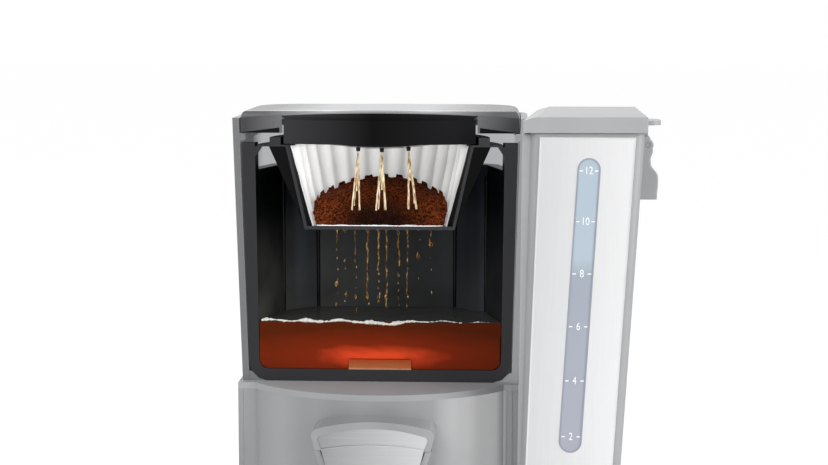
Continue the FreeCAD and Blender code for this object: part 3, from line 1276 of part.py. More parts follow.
def control_panel():
    """Front plate with openings for the lens and the buttons, and two posts for the board."""
    panel = box(CONTROL_LEFT + SET_GAP, CONTROL_RIGHT - SET_GAP, control_front(), control_back(),
                CONTROL_LOW + SET_GAP, CONTROL_HIGH - SET_GAP)
    z = control_middle()
    panel = panel.cut(box(lens_left(), lens_left() + LENS_W, control_front(), control_back(),
                          z - LENS_H / 2, z + LENS_H / 2))
    for x in button_places():
        panel = panel.cut(rod(x, control_front(), z, BUTTON_R + MOVE_GAP, BASE_WALL + CONTROL_PROUD, V(0, 1, 0)))
    for x in (CONTROL_LEFT + 2 * FUSE_R, CONTROL_RIGHT - 2 * FUSE_R):
        panel = panel.fuse(rod(x, control_back(), CONTROL_LOW + 2 * FUSE_R, FUSE_R,
                               board_front() - control_back(), V(0, 1, 0)))
    return panel


def display_lens():
    z = control_middle()
    return box(lens_left() + SET_GAP, lens_left() + LENS_W - SET_GAP, control_front(), control_back(),
               z - LENS_H / 2 + SET_GAP, z + LENS_H / 2 - SET_GAP)


def button(x):
    front = control_front() - BUTTON_PROUD
    rim = control_back() + MOVE_GAP
    cap = rod(x, front, control_middle(), BUTTON_R, rim - front, V(0, 1, 0))
    return cap.fuse(rod(x, rim, control_middle(), BUTTON_R + BUTTON_RIM, BUTTON_RIM_T, V(0, 1, 0)))


def tact_switches():
    half = SWITCH_SIZE / 2
    y1 = board_front()
    z = control_middle()
    return Part.makeCompound([box(x - half, x + half, y1 - SWITCH_H, y1, z - half, z + half)
                              for x in button_places()])


def control_board():
    y0 = board_front()
    return box(CONTROL_LEFT + FUSE_R / 2, CONTROL_RIGHT - FUSE_R / 2, y0, y0 + BOARD_T,
               CONTROL_LOW + FUSE_R / 2, CONTROL_HIGH - FUSE_R / 2)


# All pieces, each under the name of its node
def all_pieces():
    makers = [feet, base_plate, base_screws, base_shell, apron_shell, cord_inlet, drip_tray, cup_rest, body_shell, front_wall,
              lever_pin, tank_deck, rear_shell, lid_hinge_pin, coffee_tank, outlet_screen, brewed_coffee,
              brew_basket, paper_filter, coffee_grounds, water_jets, coffee_drips, brew_lid, shower_drum,
              shower_plate, reservoir_tank, reservoir_cap, steel_panel, water_window, reservoir_handle,
              reservoir_hinge_pin, reservoir_lid, reservoir_dock, dispenser_hood, dispenser_cap, dispense_lever,
              valve_body, valve_seal, valve_plunger, outlet_duct, warming_plate, flow_heater, thermostat,
              thermal_fuse, riser_tube, inlet_hose, check_valve, control_panel, display_lens, tact_switches,
              control_board]
    pieces = {maker.__name__: maker() for maker in makers}
    for number, x in enumerate(button_places(), 1):
        pieces["button_%d" % number] = button(x)
    return pieces


def origin_shift(pieces):
    """Move that puts the origin on the table below the middle of the machine."""
    bounds = FreeCAD.BoundBox()
    for shape in pieces.values():
        bounds.add(shape.BoundBox)
    return V(-bounds.Center.x, -bounds.Center.y, -bounds.ZMin)


def main():
    os.makedirs("parts", exist_ok=True)
    pieces = all_pieces()
    shift = origin_shift(pieces)
    for name, shape in pieces.items():
        shape.translate(shift)
        shape.exportStep("parts/%s.step" % name)
    print("pieces %d, moved by %.3f %.3f %.3f" % (len(pieces), shift.x, shift.y, shift.z))


main()
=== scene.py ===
# %% [markdown]
# # Cutaway drip coffee maker
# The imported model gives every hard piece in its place. This lesson dresses it: each finish is built from
# shader nodes, and the loose things that CAD keeps plain, such as paper, grounds, coffee and falling
# water, are modelled again as meshes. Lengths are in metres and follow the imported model.

# %% Load the frame
import math
import random
from functools import partial

import bpy
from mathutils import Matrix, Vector


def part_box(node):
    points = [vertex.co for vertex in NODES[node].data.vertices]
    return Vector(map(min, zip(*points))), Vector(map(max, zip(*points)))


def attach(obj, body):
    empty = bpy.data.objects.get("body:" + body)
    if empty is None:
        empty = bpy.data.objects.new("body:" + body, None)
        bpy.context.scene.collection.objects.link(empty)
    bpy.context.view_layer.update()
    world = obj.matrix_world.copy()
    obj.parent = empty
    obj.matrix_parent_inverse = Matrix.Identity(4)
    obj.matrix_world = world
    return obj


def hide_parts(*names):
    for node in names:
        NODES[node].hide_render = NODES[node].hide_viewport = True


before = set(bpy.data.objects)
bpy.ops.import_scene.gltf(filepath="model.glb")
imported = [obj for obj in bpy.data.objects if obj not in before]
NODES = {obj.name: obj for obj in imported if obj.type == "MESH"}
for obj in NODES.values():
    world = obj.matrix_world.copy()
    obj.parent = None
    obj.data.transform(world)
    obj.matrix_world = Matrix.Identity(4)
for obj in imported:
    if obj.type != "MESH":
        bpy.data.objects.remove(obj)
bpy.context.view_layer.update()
MM = 0.001
DRAWS = random.Random(7)
tank_low, tank_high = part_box("coffee_tank")
TANK_X = (tank_low.x + tank_high.x) / 2
SECTION_Y = tank_low.y
print("CAD nodes:", len(NODES), "tank axis x", round(TANK_X, 4), "section plane y", round(SECTION_Y, 4))

# %% [markdown]
# ## Colours and nodes
# Colours are written as sRGB hex, as a paint card gives them, and one function turns them to the linear
# values that shaders use. A second function adds one shader node with its settings and links, so that a
# material below reads as a short recipe. A node that is given as an input lends its first output.

# %% Colour and node helpers


def linear(code):
    """sRGB hex to linear RGBA."""
    values = []
    for i in (0, 2, 4):
        c = int(code[i:i + 2], 16) / 255
        values.append(c / 12.92 if c <= 0.04045 else ((c + 0.055) / 1.055) ** 2.4)
    return (*values, 1.0)


def node(tree, kind, inputs=None, stops=None, **settings):
    """Add a node. Inputs are values, sockets or nodes; stops are the (place, hex) pairs of a colour ramp."""
    made = tree.nodes.new("ShaderNode" + kind)
    for name, value in settings.items():
        setattr(made, name, value)
    for key, value in (inputs or {}).items():
        if isinstance(value, bpy.types.Node):
            value = next(socket for socket in value.outputs if socket.enabled)
        if isinstance(value, bpy.types.NodeSocket):
            tree.links.new(value, made.inputs[key])
        else:
            made.inputs[key].default_value = value
    if stops:
        row = made.color_ramp.elements
        for end, (place, code) in ((row[0], stops[0]), (row[1], stops[-1])):
            end.position = place
            end.color = linear(code)
        for place, code in stops[1:-1]:
            row.new(place).color = linear(code)
    return made


def start_material(name):
    """A new material, the function that adds its nodes, and the place on the piece."""
    print("finish", name)
    material = bpy.data.materials.new(name)
    material.use_nodes = True
    material.node_tree.nodes.clear()
    add = partial(node, material.node_tree)
    return material, add, add("TexCoord").outputs["Object"]


def end_material(add, inputs):
    """Close a material with its surface shader."""
    add("OutputMaterial", {"Surface": add("BsdfPrincipled", inputs)})


def per_mm(size):
    """Texture scale whose features are about this many millimetres wide."""
    return 1 / (size * MM)


# %% [markdown]
# ## Moulded plastics
# Most of the machine is injection-moulded ABS in pale grey. Such a surface is satin, with a spark-eroded
# grain of about half a millimetre. A picture could carry that, but it would stretch over round faces, so a
# fine noise in the object's own space gives the bump, and a broad one, drawn out along the flow of the melt,
# gives a slight change of tone. On the gloss front that broad noise is drawn into upright bands of painted
# reflection, and part of the wall gets painted light.

# %% Moulded plastics


def moulded(name, low, high, roughness, grain=0.6, depth=0.02, coat=0.0, gloss=0.5, tone_stretch=(1.0, 1.0, 1.0),
            painted_light_span=None):
    """Two tones along the flow and a fine grain; over the pale span of x, painted light whitens the plastic.
    """
    material, add, place = start_material(name)
    along = add("Mapping", {"Vector": place, "Scale": tone_stretch})
    cloud = add("TexNoise", {"Vector": along, "Scale": per_mm(45), "Detail": 2.0})
    colour = add("ValToRGB", {0: cloud}, stops=((0, low), (1, high)))
    # Painted light: over the pale span of x the plastic whitens, where the wall lies in shade.
    if painted_light_span:
        x = add("SeparateXYZ", {0: place}).outputs["X"]
        share = add("MapRange", {"Value": x, "From Min": painted_light_span[0], "From Max": painted_light_span[1]})
        swell = add("ValToRGB", {0: share}, stops=((0, "000000"), (0.86, "ffffff"), (1, "000000")))
        colour = add("Mix", {"Factor": swell, "A": colour, "B": linear("ffffff")}, data_type="RGBA")
    pits = add("TexNoise", {"Vector": place, "Scale": per_mm(grain), "Detail": 1.0})
    bump = add("Bump", {"Height": pits, "Distance": depth * MM, "Strength": 0.5})
    end_material(add, {"Base Color": colour, "Roughness": roughness, "IOR": 1.53, "Specular IOR Level": gloss,
                       "Normal": bump, "Coat Weight": coat, "Coat Roughness": 0.08})
    return material


# Upright bands of painted reflection on the gloss front: the broad tone noise is drawn out along z.
FRONT_REFLECTION_BANDS = {"low": "7c7d7f", "high": "b4b5b7", "roughness": 0.22, "coat": 0.15, "tone_stretch": (1.0, 0.2, 0.02)}
# Span of x on the front wall that is whitened by painted light.
PAINTED_LIGHT_SPAN = (TANK_X + 38 * MM, TANK_X + 86 * MM)
body_abs = moulded("front_gloss_abs", **FRONT_REFLECTION_BANDS)
wall_abs = moulded("front_wall_abs", **FRONT_REFLECTION_BANDS, painted_light_span=PAINTED_LIGHT_SPAN)
deck_abs = moulded("matt_deck_abs", "9a9b9d", "b2b3b5", 0.65, gloss=0.15, tone_stretch=(1.0, 0.2, 0.2))
base_abs = moulded("base_grained_abs", "7f8082", "8b8c8e", 0.48, grain=0.9, depth=0.05)
reservoir_abs = moulded("reservoir_abs", "9d9ea0", "abacae", 0.34)
black_nylon = moulded("gloss_black_nylon", "020203", "171719", 0.2, gloss=0.2, tone_stretch=(1.0, 1.0, 0.1))
white_acetal = moulded("natural_acetal", "d8d7d2", "e3e2dd", 0.4)
board_laminate = moulded("green_board", "1f5a34", "2a6b40", 0.45)
key_abs = moulded("key_cap_abs", "c6c7c9", "d2d3d5", 0.35)
feet_rubber = moulded("foot_rubber", "202022", "2b2b2d", 0.8, grain=1.2, depth=0.08)

# %% [markdown]
# ## Sectioned plastics
# Where the machine is cut open, all cut faces lie in one plane. They could be painted face by face, but the
# shader can read the place in the object's own axes instead: what lies in that plane gets the duller tone of
# a sawn edge, with painted shade that ramps across the tank, and the rest keeps the moulded gloss. The
# housing's inner faces get a little painted glow, which stands in for light through its thin walls.

# %% Sectioned plastics
CUT_DEPTH = 0.5 * MM


def cut_mask(add, place):
    """1 on the cut faces, 0 elsewhere."""
    depth = add("SeparateXYZ", {0: place}).outputs["Y"]
    return add("Math", {0: depth, 1: SECTION_Y + CUT_DEPTH}, operation="LESS_THAN")


def rear_mask(add):
    """Up to 1 on faces that look forward, such as the inside of the rear wall."""
    normal = add("NewGeometry").outputs["True Normal"]
    back = add("SeparateXYZ", {0: normal}).outputs["Y"]
    return add("MapRange", {"Value": back, "From Min": -0.05, "From Max": -0.5})


def across_tank(add, place, span=None):
    """0 to 1 from the left to the right of the tank, or outwards over a span of distances from its axis."""
    x = add("SeparateXYZ", {0: place}).outputs["X"]
    out = add("Math", {0: x, 1: TANK_X}, operation="SUBTRACT")
    if span:
        out = add("Math", {0: out}, operation="ABSOLUTE")
    low, high = span or (tank_low.x - TANK_X, tank_high.x - TANK_X)
    return add("MapRange", {"Value": out, "From Min": low, "From Max": high})


def sectioned(name, inside, cut_shades, roughness, gloss=0.3, painted_glow=0.0, span=None):
    """Plastic with dull cut faces; tones and roughness are pairs, the cut tone ramps across the tank as
    painted shade, and glow is painted light on the inner faces.
    """
    material, add, place = start_material(name)
    streak = add("Mapping", {"Vector": place, "Scale": (1.0, 1.0, 0.08)})
    cloud = add("TexNoise", {"Vector": streak, "Scale": per_mm(30), "Detail": 2.0})
    tone = add("ValToRGB", {0: cloud}, stops=tuple(enumerate(inside)))
    is_cut = cut_mask(add, place)
    # Painted shade: the cut faces ramp in tone across the tank.
    shaded_cut = add("ValToRGB", {0: across_tank(add, place, span)}, stops=tuple(enumerate(cut_shades)))
    colour = add("Mix", {"Factor": is_cut, "A": tone, "B": shaded_cut}, data_type="RGBA")
    rough = add("MapRange", {"Value": is_cut, "To Min": roughness[0], "To Max": roughness[1]})
    look = {"Base Color": colour, "Roughness": rough, "IOR": 1.5, "Specular IOR Level": gloss}
    # Painted glow: the inner faces give light of their own, so they stay pale where shade falls.
    if painted_glow:
        uncut = add("MapRange", {"Value": is_cut, "To Min": painted_glow, "To Max": 0.0})
        inner_glow = add("Math", {0: rear_mask(add), 1: uncut}, operation="MULTIPLY")
        look.update({"Emission Color": colour, "Emission Strength": inner_glow})
    end_material(add, look)
    return material


# Span out from the tank's axis over which the lid's cut faces darken as painted shade.
LID_SHADE_SPAN = (64 * MM, 90 * MM)
basket_nylon = sectioned("black_basket_nylon", ("030304", "0a0a0b"), ("323235", "48484c"), (0.35, 0.6),
                         gloss=0.1)
lid_abs = sectioned("sectioned_lid_abs", ("a9aaac", "c4c5c7"), ("6f6f72", "3e3e41"), (0.3, 0.5),
                    span=LID_SHADE_SPAN)
# The housing gets a painted glow on its inner faces.
shell_cut = sectioned("sectioned_pale_abs", ("9c9d9f", "a8a9ab"), ("757677", "b8b9ba"), (0.4, 0.55),
                      painted_glow=1.1)

# %% [markdown]
# ## Drum and tank
# The shower drum is gloss black nylon with a broad painted sheen at its left side and a fainter one at its
# right, which is a ramp across the tank. The tank is dark polypropylene with flat facets. Painted shade makes
# its side walls almost black, the rear facets get painted light, and upright bands of painted reflection run
# over them. Near the coffee a thin mist hangs on the wall, thickest at the left. The facets are one mesh, so
# the shader tells them apart by their normal.

# %% Drum plastic


def drum_nylon():
    """Gloss black nylon with a broad painted sheen at the left and a fainter one at the right."""
    material, add, place = start_material("drum_nylon_painted_sheen")
    # Painted sheen: lighter at the left and right, black in the middle.
    tone = add("ValToRGB", {0: across_tank(add, place)},
               stops=((0.15, "3a3a3c"), (0.48, "030304"), (0.85, "1c1c1e")))
    pits = add("TexNoise", {"Vector": place, "Scale": per_mm(0.6), "Detail": 1.0})
    bump = add("Bump", {"Height": pits, "Distance": 0.02 * MM, "Strength": 0.4})
    end_material(add, {"Base Color": tone, "Roughness": 0.24, "IOR": 1.5, "Specular IOR Level": 0.12,
                       "Normal": bump})
    return material


drum_gloss = drum_nylon()

# %% Tank plastic
MIST_FOOT = tank_low.z + 45 * MM
MIST_RISE = 70 * MM
MIST_LEFT = 1.7
MIST_RIGHT = 0.7


def tank_polypropylene():
    """Dark facets, each with its own painted shade by the way it faces, upright bands of painted reflection,
    and a thin mist above the coffee.
    """
    material, add, place = start_material("dark_tank_polypropylene")
    normal = add("NewGeometry").outputs["True Normal"]
    sideways = add("SeparateXYZ", {0: normal}).outputs["X"]
    turn = add("Math", {0: sideways}, operation="ABSOLUTE")
    # Painted light and shade: each facet's tone follows which way it faces.
    facet_shade = add("ValToRGB", {0: turn}, stops=((0, "262a30"), (0.66, "3a3f47"), (0.94, "08090b")))
    # Upright bands of painted reflection lighten and darken the facets.
    columns = add("Mapping", {"Vector": place, "Scale": (1.0, 1.0, 0.02)})
    reflection_bands = add("TexNoise", {"Vector": columns, "Scale": per_mm(16), "Detail": 1.0})
    shade = add("MapRange", {"Value": reflection_bands, "From Min": 0.35, "From Max": 0.65,
                             "To Min": 0.45, "To Max": 1.1})
    toned = add("VectorMath", {0: facet_shade, "Scale": shade}, operation="SCALE")
    height = add("SeparateXYZ", {0: place}).outputs["Z"]
    low = add("MapRange", {"Value": height, "From Min": MIST_FOOT, "From Max": MIST_FOOT + MIST_RISE,
                           "To Min": 0.6, "To Max": 0.0})
    wisps = add("TexNoise", {"Vector": place, "Scale": per_mm(28), "Detail": 3.0})
    drift = add("MapRange", {"Value": across_tank(add, place), "From Min": 0.15, "From Max": 0.7,
                             "To Min": MIST_LEFT, "To Max": MIST_RIGHT})
    banked = add("Math", {0: wisps, 1: drift}, operation="MULTIPLY")
    mist = add("Math", {0: low, 1: banked}, operation="MULTIPLY")
    hazy = add("Mix", {"Factor": mist, "A": toned, "B": linear("5a5c56")}, data_type="RGBA")
    is_cut = cut_mask(add, place)
    # Painted shade: the tank's cut faces ramp in tone across it.
    shaded_cut = add("ValToRGB", {0: across_tank(add, place)}, stops=((0, "2a2a2c"), (1, "37373a")))
    colour = add("Mix", {"Factor": is_cut, "A": hazy, "B": shaded_cut}, data_type="RGBA")
    rough = add("MapRange", {"Value": is_cut, "To Min": 0.28, "To Max": 0.6})
    end_material(add, {"Base Color": colour, "Roughness": rough, "IOR": 1.49, "Specular IOR Level": 0.25})
    return material


tank_pp = tank_polypropylene()

# %% [markdown]
# ## Metals
# The reservoir's front is a brushed stainless sheet. Brushing leaves scratches along one direction, so the
# noise is stretched many times along Z. Real scratches are finer than the picture can show, and here they
# are drawn 0.7 mm wide. Pins and the heater are plain ground or cast metal, from the same recipe.

# %% Metals


def brushed(name, low, high, roughness, stretch, painted_sheen=None):
    """Brushed metal; stretch scales the scratches, and a painted sheen lightens it over a given span of x."""
    material, add, place = start_material(name)
    along = add("Mapping", {"Vector": place, "Scale": stretch})
    hairs = add("TexNoise", {"Vector": along, "Scale": per_mm(0.7), "Detail": 3.0})
    factor = hairs
    # Painted sheen: the metal turns lighter from left to right over the span.
    if painted_sheen:
        across = add("SeparateXYZ", {0: place}).outputs["X"]
        light = add("MapRange", {"Value": across, "From Min": painted_sheen[0], "From Max": painted_sheen[1],
                                 "To Min": -0.15, "To Max": 0.85})
        factor = add("Math", {0: hairs, 1: 0.3, 2: light}, operation="MULTIPLY_ADD")
    tone = add("ValToRGB", {0: factor}, stops=((0, low), (1, high)))
    bump = add("Bump", {"Height": hairs, "Distance": 0.01 * MM, "Strength": 0.3})
    end_material(add, {"Base Color": tone, "Metallic": 1.0, "Roughness": roughness, "Normal": bump})
    return material


cap_low, cap_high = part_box("dispenser_cap")
panel_low, panel_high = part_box("steel_panel")
UPRIGHT = (1.0, 1.0, 0.03)
LEVEL = (0.03, 1.0, 1.0)
# The sheet and the lever get a painted sheen from left to right.
panel_steel = brushed("brushed_stainless_sheet", "e2e3e4", "fdfdfe", 0.36, UPRIGHT,
                      (panel_low.x, panel_high.x))
lever_steel = brushed("brushed_lever_sheet", "a2a3a4", "dedfe0", 0.34, LEVEL, (cap_low.x, cap_high.x))
rest_steel = brushed("brushed_rest_sheet", "b4b5b6", "cfd0d1", 0.32, LEVEL)
edge_steel = brushed("rolled_edge_steel", "eeeeef", "fafafa", 0.3, (1.0, 1.0, 0.1))
ground_steel = brushed("ground_pin_steel", "b9babc", "c8c9ca", 0.2, (0.1, 1.0, 1.0))
cast_alloy = brushed("cast_aluminium", "a9aaab", "bcbdbe", 0.5, (1.0, 1.0, 1.0))

# %% [markdown]
# ## Camera and light
# The picture was taken with a long lens, a little above the lid and turned slightly to the reservoir side.
# The camera stands where the measured lines of the picture put it. Light is plain and soft, and the white
# surroundings are the colour of the world and the floor, not more light on the machine.

# %% Camera
PHOTO_WIDTH = 828
FOCAL_PIXELS = 1920.0
SENSOR_MM = 36.0
CAMERA_DISTANCE = 1.2836
CAMERA_HEIGHT = 0.4557
AIM_FROM_TANK = 0.0232
CAMERA_TURN = math.radians(3.0)
CAMERA_PITCH = math.radians(6.6)

aim_x = TANK_X + AIM_FROM_TANK
bpy.ops.object.camera_add(
    location=(aim_x + CAMERA_DISTANCE * math.sin(CAMERA_TURN),
              SECTION_Y - CAMERA_DISTANCE * math.cos(CAMERA_TURN), CAMERA_HEIGHT),
    rotation=(math.pi / 2 - CAMERA_PITCH, 0, CAMERA_TURN))
camera = bpy.context.object
camera.data.lens = FOCAL_PIXELS * SENSOR_MM / PHOTO_WIDTH
camera.data.sensor_width = SENSOR_MM
bpy.context.scene.camera = camera
bpy.context.scene.view_settings.view_transform = "Standard"
print("camera", [round(c, 4) for c in camera.location])

# %% World
AMBIENT = 0.45
WHITE = (1, 1, 1, 1)
world = bpy.data.worlds.new("white_studio")
bpy.context.scene.world = world
world.use_nodes = True
world.node_tree.nodes.clear()
add = partial(node, world.node_tree)
rays = add("LightPath")
seen = rays.outputs["Is Camera Ray"]
for kind in ("Is Glossy Ray", "Is Transmission Ray"):
    seen = add("Math", {0: seen, 1: rays.outputs[kind]}, operation="MAXIMUM")
power = add("MapRange", {"Value": seen, "To Min": AMBIENT, "To Max": 1.0})
add("OutputWorld", {"Surface": add("Background", {"Color": WHITE, "Strength": power})})
print("world", world.name, "lights the machine at", AMBIENT)

# %% Floor
FLOOR_SIZE = 30.0
FLOOR_SELF = 0.82
FLOOR_WHITE = 1.12
bpy.ops.mesh.primitive_plane_add(size=FLOOR_SIZE, location=(0, 0, 0))
floor = bpy.context.object
floor.name = "studio_floor"
floor_paint, add, place = start_material("white_sweep")
shown = add("Math", {0: add("LightPath").outputs["Is Camera Ray"], 1: FLOOR_SELF}, operation="MULTIPLY")
matt = add("BsdfDiffuse", {"Color": (0.9, 0.9, 0.9, 1)})
white = add("Emission", {"Color": WHITE, "Strength": FLOOR_WHITE})
add("OutputMaterial", {"Surface": add("MixShader", {0: shown, 1: matt, 2: white})})
floor.data.materials.append(floor_paint)

# %% Lamps
LAMP_TARGET = Vector((0.0, 0.0, 0.25))
# Each lamp: its place, its width and its watts
LAMPS = {
    "key_lamp": ((-0.9, -1.5, 1.5), 1.2, 17.0),
    "fill_lamp": ((1.5, -1.0, 0.8), 1.2, 19.0),
    "rear_lamp": ((-0.4, 1.4, 1.6), 1.0, 11.0),
}
for name, (stand, width, watts) in LAMPS.items():
    bpy.ops.object.light_add(type="AREA", location=stand)
    lamp = bpy.context.object
    lamp.name = name
    lamp.data.size = width
    lamp.data.energy = watts
    lamp.rotation_euler = (LAMP_TARGET - Vector(stand)).to_track_quat("-Z", "Y").to_euler()
    print(name, watts, "W")

# %% [markdown]
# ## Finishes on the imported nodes
# Each node keeps its CAD shape and gets its material here. Nodes that are cut from one moulding or one
# sheet share a material, so the table is sorted by finish.

# %% Assign finishes
FINISHES = {
    shell_cut: ["rear_shell"],
    lid_abs: ["brew_lid"],
    wall_abs: ["front_wall"],
    deck_abs: ["tank_deck"],
    body_abs: ["body_shell", "dispenser_hood"],
    base_abs: ["base_shell", "apron_shell", "base_plate", "drip_tray", "control_panel", "cord_inlet",
               "reservoir_dock"],
    drum_gloss: ["shower_drum"],
    black_nylon: ["shower_plate"],
    tank_pp: ["coffee_tank"],
    basket_nylon: ["brew_basket"],
    feet_rubber: ["feet", "valve_seal", "inlet_hose"],
    panel_steel: ["steel_panel"],
    lever_steel: ["dispenser_cap", "dispense_lever", "outlet_duct"],
    rest_steel: ["cup_rest"],
    ground_steel: ["lever_pin", "lid_hinge_pin", "reservoir_hinge_pin", "base_screws"],
    reservoir_abs: ["reservoir_tank", "reservoir_lid", "reservoir_handle", "reservoir_cap"],
    cast_alloy: ["warming_plate", "flow_heater", "thermostat"],
    white_acetal: ["valve_body", "valve_plunger", "check_valve", "riser_tube", "thermal_fuse"],
    board_laminate: ["control_board", "tact_switches"],
    key_abs: ["button_1", "button_2", "button_3"],
}


def dress(name, material):
    """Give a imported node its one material."""
    slots = NODES[name].data.materials
    slots.clear()
    slots.append(material)


for material, names in FINISHES.items():
    for name in names:
        dress(name, material)
print("dressed", sum(len(names) for names in FINISHES.values()), "nodes")

# %% [markdown]
# ## Modelling helpers
# New pieces are made with Blender's own operators, as by hand. An operator works on all that is selected, so
# each helper first selects by place or normal and leaves object mode active. A finished piece has its place
# in its vertices, so its object sits at the origin, and it rides on the body of the node that it dresses.

# %% Selecting and moving


def only(obj):
    """Select and activate one object."""
    bpy.ops.object.select_all(action="DESELECT")
    obj.select_set(True)
    bpy.context.view_layer.objects.active = obj


def leave_edit():
    """Go back to object mode."""
    bpy.ops.object.mode_set(mode="OBJECT")


def pick_points(obj, test):
    """Enter edit mode with the points that pass the test selected."""
    only(obj)
    bpy.ops.object.mode_set(mode="EDIT")
    bpy.ops.mesh.select_mode(type="VERT")
    bpy.ops.mesh.select_all(action="DESELECT")
    leave_edit()
    for point in obj.data.vertices:
        point.select = test(obj.matrix_world @ point.co)
    bpy.ops.object.mode_set(mode="EDIT")


def pick_edges(obj, test):
    """Enter edit mode with the edges whose two ends pass the test selected."""
    pick_points(obj, lambda p: False)
    bpy.ops.mesh.select_mode(type="EDGE")
    leave_edit()
    for edge in obj.data.edges:
        edge.select = test(*[obj.data.vertices[i].co for i in edge.vertices])
    bpy.ops.object.mode_set(mode="EDIT")


def pick_faces(obj, test):
    """Enter edit mode with the faces that pass the test selected."""
    pick_points(obj, lambda p: False)
    bpy.ops.mesh.select_mode(type="FACE")
    leave_edit()
    for face in obj.data.polygons:
        face.select = test(face)
    bpy.ops.object.mode_set(mode="EDIT")


def soft_edit(reach):
    """Settings that let a transform draw along what lies within reach, less and less."""
    return {"use_proportional_edit": True, "proportional_edit_falloff": "SMOOTH", "proportional_size": reach}


def shift(obj, test, value, **settings):
    """Move the points that pass the test."""
    pick_points(obj, test)
    bpy.ops.transform.translate(value=value, **settings)
    leave_edit()


# %% Building


def modify(obj, kind, **settings):
    """Add a modifier, set it and apply it."""
    only(obj)
    modifier = obj.modifiers.new(kind.lower(), kind)
    for name, value in settings.items():
        setattr(modifier, name, value)
    bpy.ops.object.modifier_apply(modifier=modifier.name)


def clouds(name, size):
    """Noise texture for a displacement, with features of this size."""
    texture = bpy.data.textures.new(name, "CLOUDS")
    texture.noise_scale = size
    texture.noise_depth = 2
    return texture


def cad_copy(name):
    """A merged copy of a CAD node's mesh, free to be changed."""
    made = NODES[name].copy()
    made.data = NODES[name].data.copy()
    bpy.context.collection.objects.link(made)
    made.parent = None
    pick_points(made, lambda p: True)
    bpy.ops.mesh.remove_doubles(threshold=0.01 * MM)
    leave_edit()
    return made


def join(objects):
    """Make one object of several."""
    bpy.ops.object.select_all(action="DESELECT")
    for obj in objects:
        obj.select_set(True)
    bpy.context.view_layer.objects.active = objects[0]
    bpy.ops.object.join()
    return bpy.context.object


def finish_piece(obj, name, material, body, stands_for=(), smooth=True):
    """Name, dress and seat a new piece."""
    only(obj)
    bpy.ops.object.transform_apply(location=True, rotation=True, scale=True)
    if smooth:
        bpy.ops.object.shade_smooth()
    obj.name = name
    obj.data.name = name
    obj.data.materials.clear()
    obj.data.materials.append(material)
    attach(obj, body)
    if stands_for:
        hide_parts(*stands_for)
    print(name, len(obj.data.polygons), "faces")


CLEAR = 10                    # metres that a placed corner is lifted out of the way of the rest


def slab(corners, near, far):
    """A prism between two depths; corners are low left, low right, high right and high left as (x, z)."""
    bpy.ops.mesh.primitive_plane_add(size=2, location=(0, 0, 0))
    made = bpy.context.object
    for side, (x, z) in zip(((-1, -1), (1, -1), (1, 1), (-1, 1)), corners):
        shift(made, lambda p: (round(p.x), round(p.y)) == side and p.z == 0,
              (x - side[0], near - side[1], z + CLEAR))
    pick_points(made, lambda p: True)
    bpy.ops.transform.translate(value=(0, 0, -CLEAR))
    bpy.ops.mesh.select_all(action="SELECT")
    bpy.ops.mesh.extrude_region_move(TRANSFORM_OT_translate={"value": (0, far - near, 0)})
    bpy.ops.mesh.select_all(action="SELECT")
    bpy.ops.mesh.normals_make_consistent(inside=False)
    leave_edit()
    return made


def both_sides(corners, near, far):
    """Two mirrored slabs; corners are those of the right one, with x from the axis of the tank."""
    made = []
    for side, order in ((-1, (1, 0, 3, 2)), (1, (0, 1, 2, 3))):
        made.append(slab([(TANK_X + side * corners[i][0], corners[i][1]) for i in order], near, far))
    return made


def strand(points):
    """A round thread through (x, y, z, radius) points, as a mesh."""
    data = bpy.data.curves.new("strand", "CURVE")
    data.dimensions = "3D"
    data.bevel_depth = MM
    data.bevel_resolution = 2
    data.resolution_u = 3
    data.use_fill_caps = True
    line = data.splines.new("NURBS")
    line.points.add(len(points) - 1)
    for point, (x, y, z, radius) in zip(line.points, points):
        point.co = (x, y, z, 1)
        point.radius = radius / MM
    line.order_u = 3
    line.use_endpoint_u = True
    made = bpy.data.objects.new("strand", data)
    bpy.context.collection.objects.link(made)
    only(made)
    bpy.ops.object.convert(target="MESH")
    return bpy.context.object


# %% [markdown]
# ## Paper filter
# A flat-bottom filter is a disc of crepe paper whose rim is fluted. Cloth simulation could crumple it, but
# the flutes are pressed and even, so they are drawn. The mesh starts as an open tube with two points for
# each flute, and its foot is drawn in to make a cone. Every second column of points is then drawn in, ring
# by ring, deeper towards the rim. Subdivision rounds the folds, and solidify gives the sheet its thickness.

# %% Paper sizes
FLUTES = 28
FOOT_RADIUS = 46.4 * MM
FOLD_RIM = 0.2
FOLD_FOOT = 0.08
FOLD_LOST = 0.3125            # share of the fold that the subdivision takes off its crest
PAPER_T = 0.35 * MM
RIM_RISE = 2.6 * MM
RIM_SPREAD = 0.9 * MM
RINGS = 5
filter_low, filter_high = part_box("paper_filter")
RIM_RADIUS = ((filter_high.x - filter_low.x) / 2 + RIM_SPREAD) / (1 - FOLD_LOST * FOLD_RIM)
FILTER_H = filter_high.z - filter_low.z + RIM_RISE
axis = Vector((TANK_X, SECTION_Y, filter_low.z))
print("paper rim radius", round(RIM_RADIUS, 4), "height", round(FILTER_H, 4))

# %% Paper material


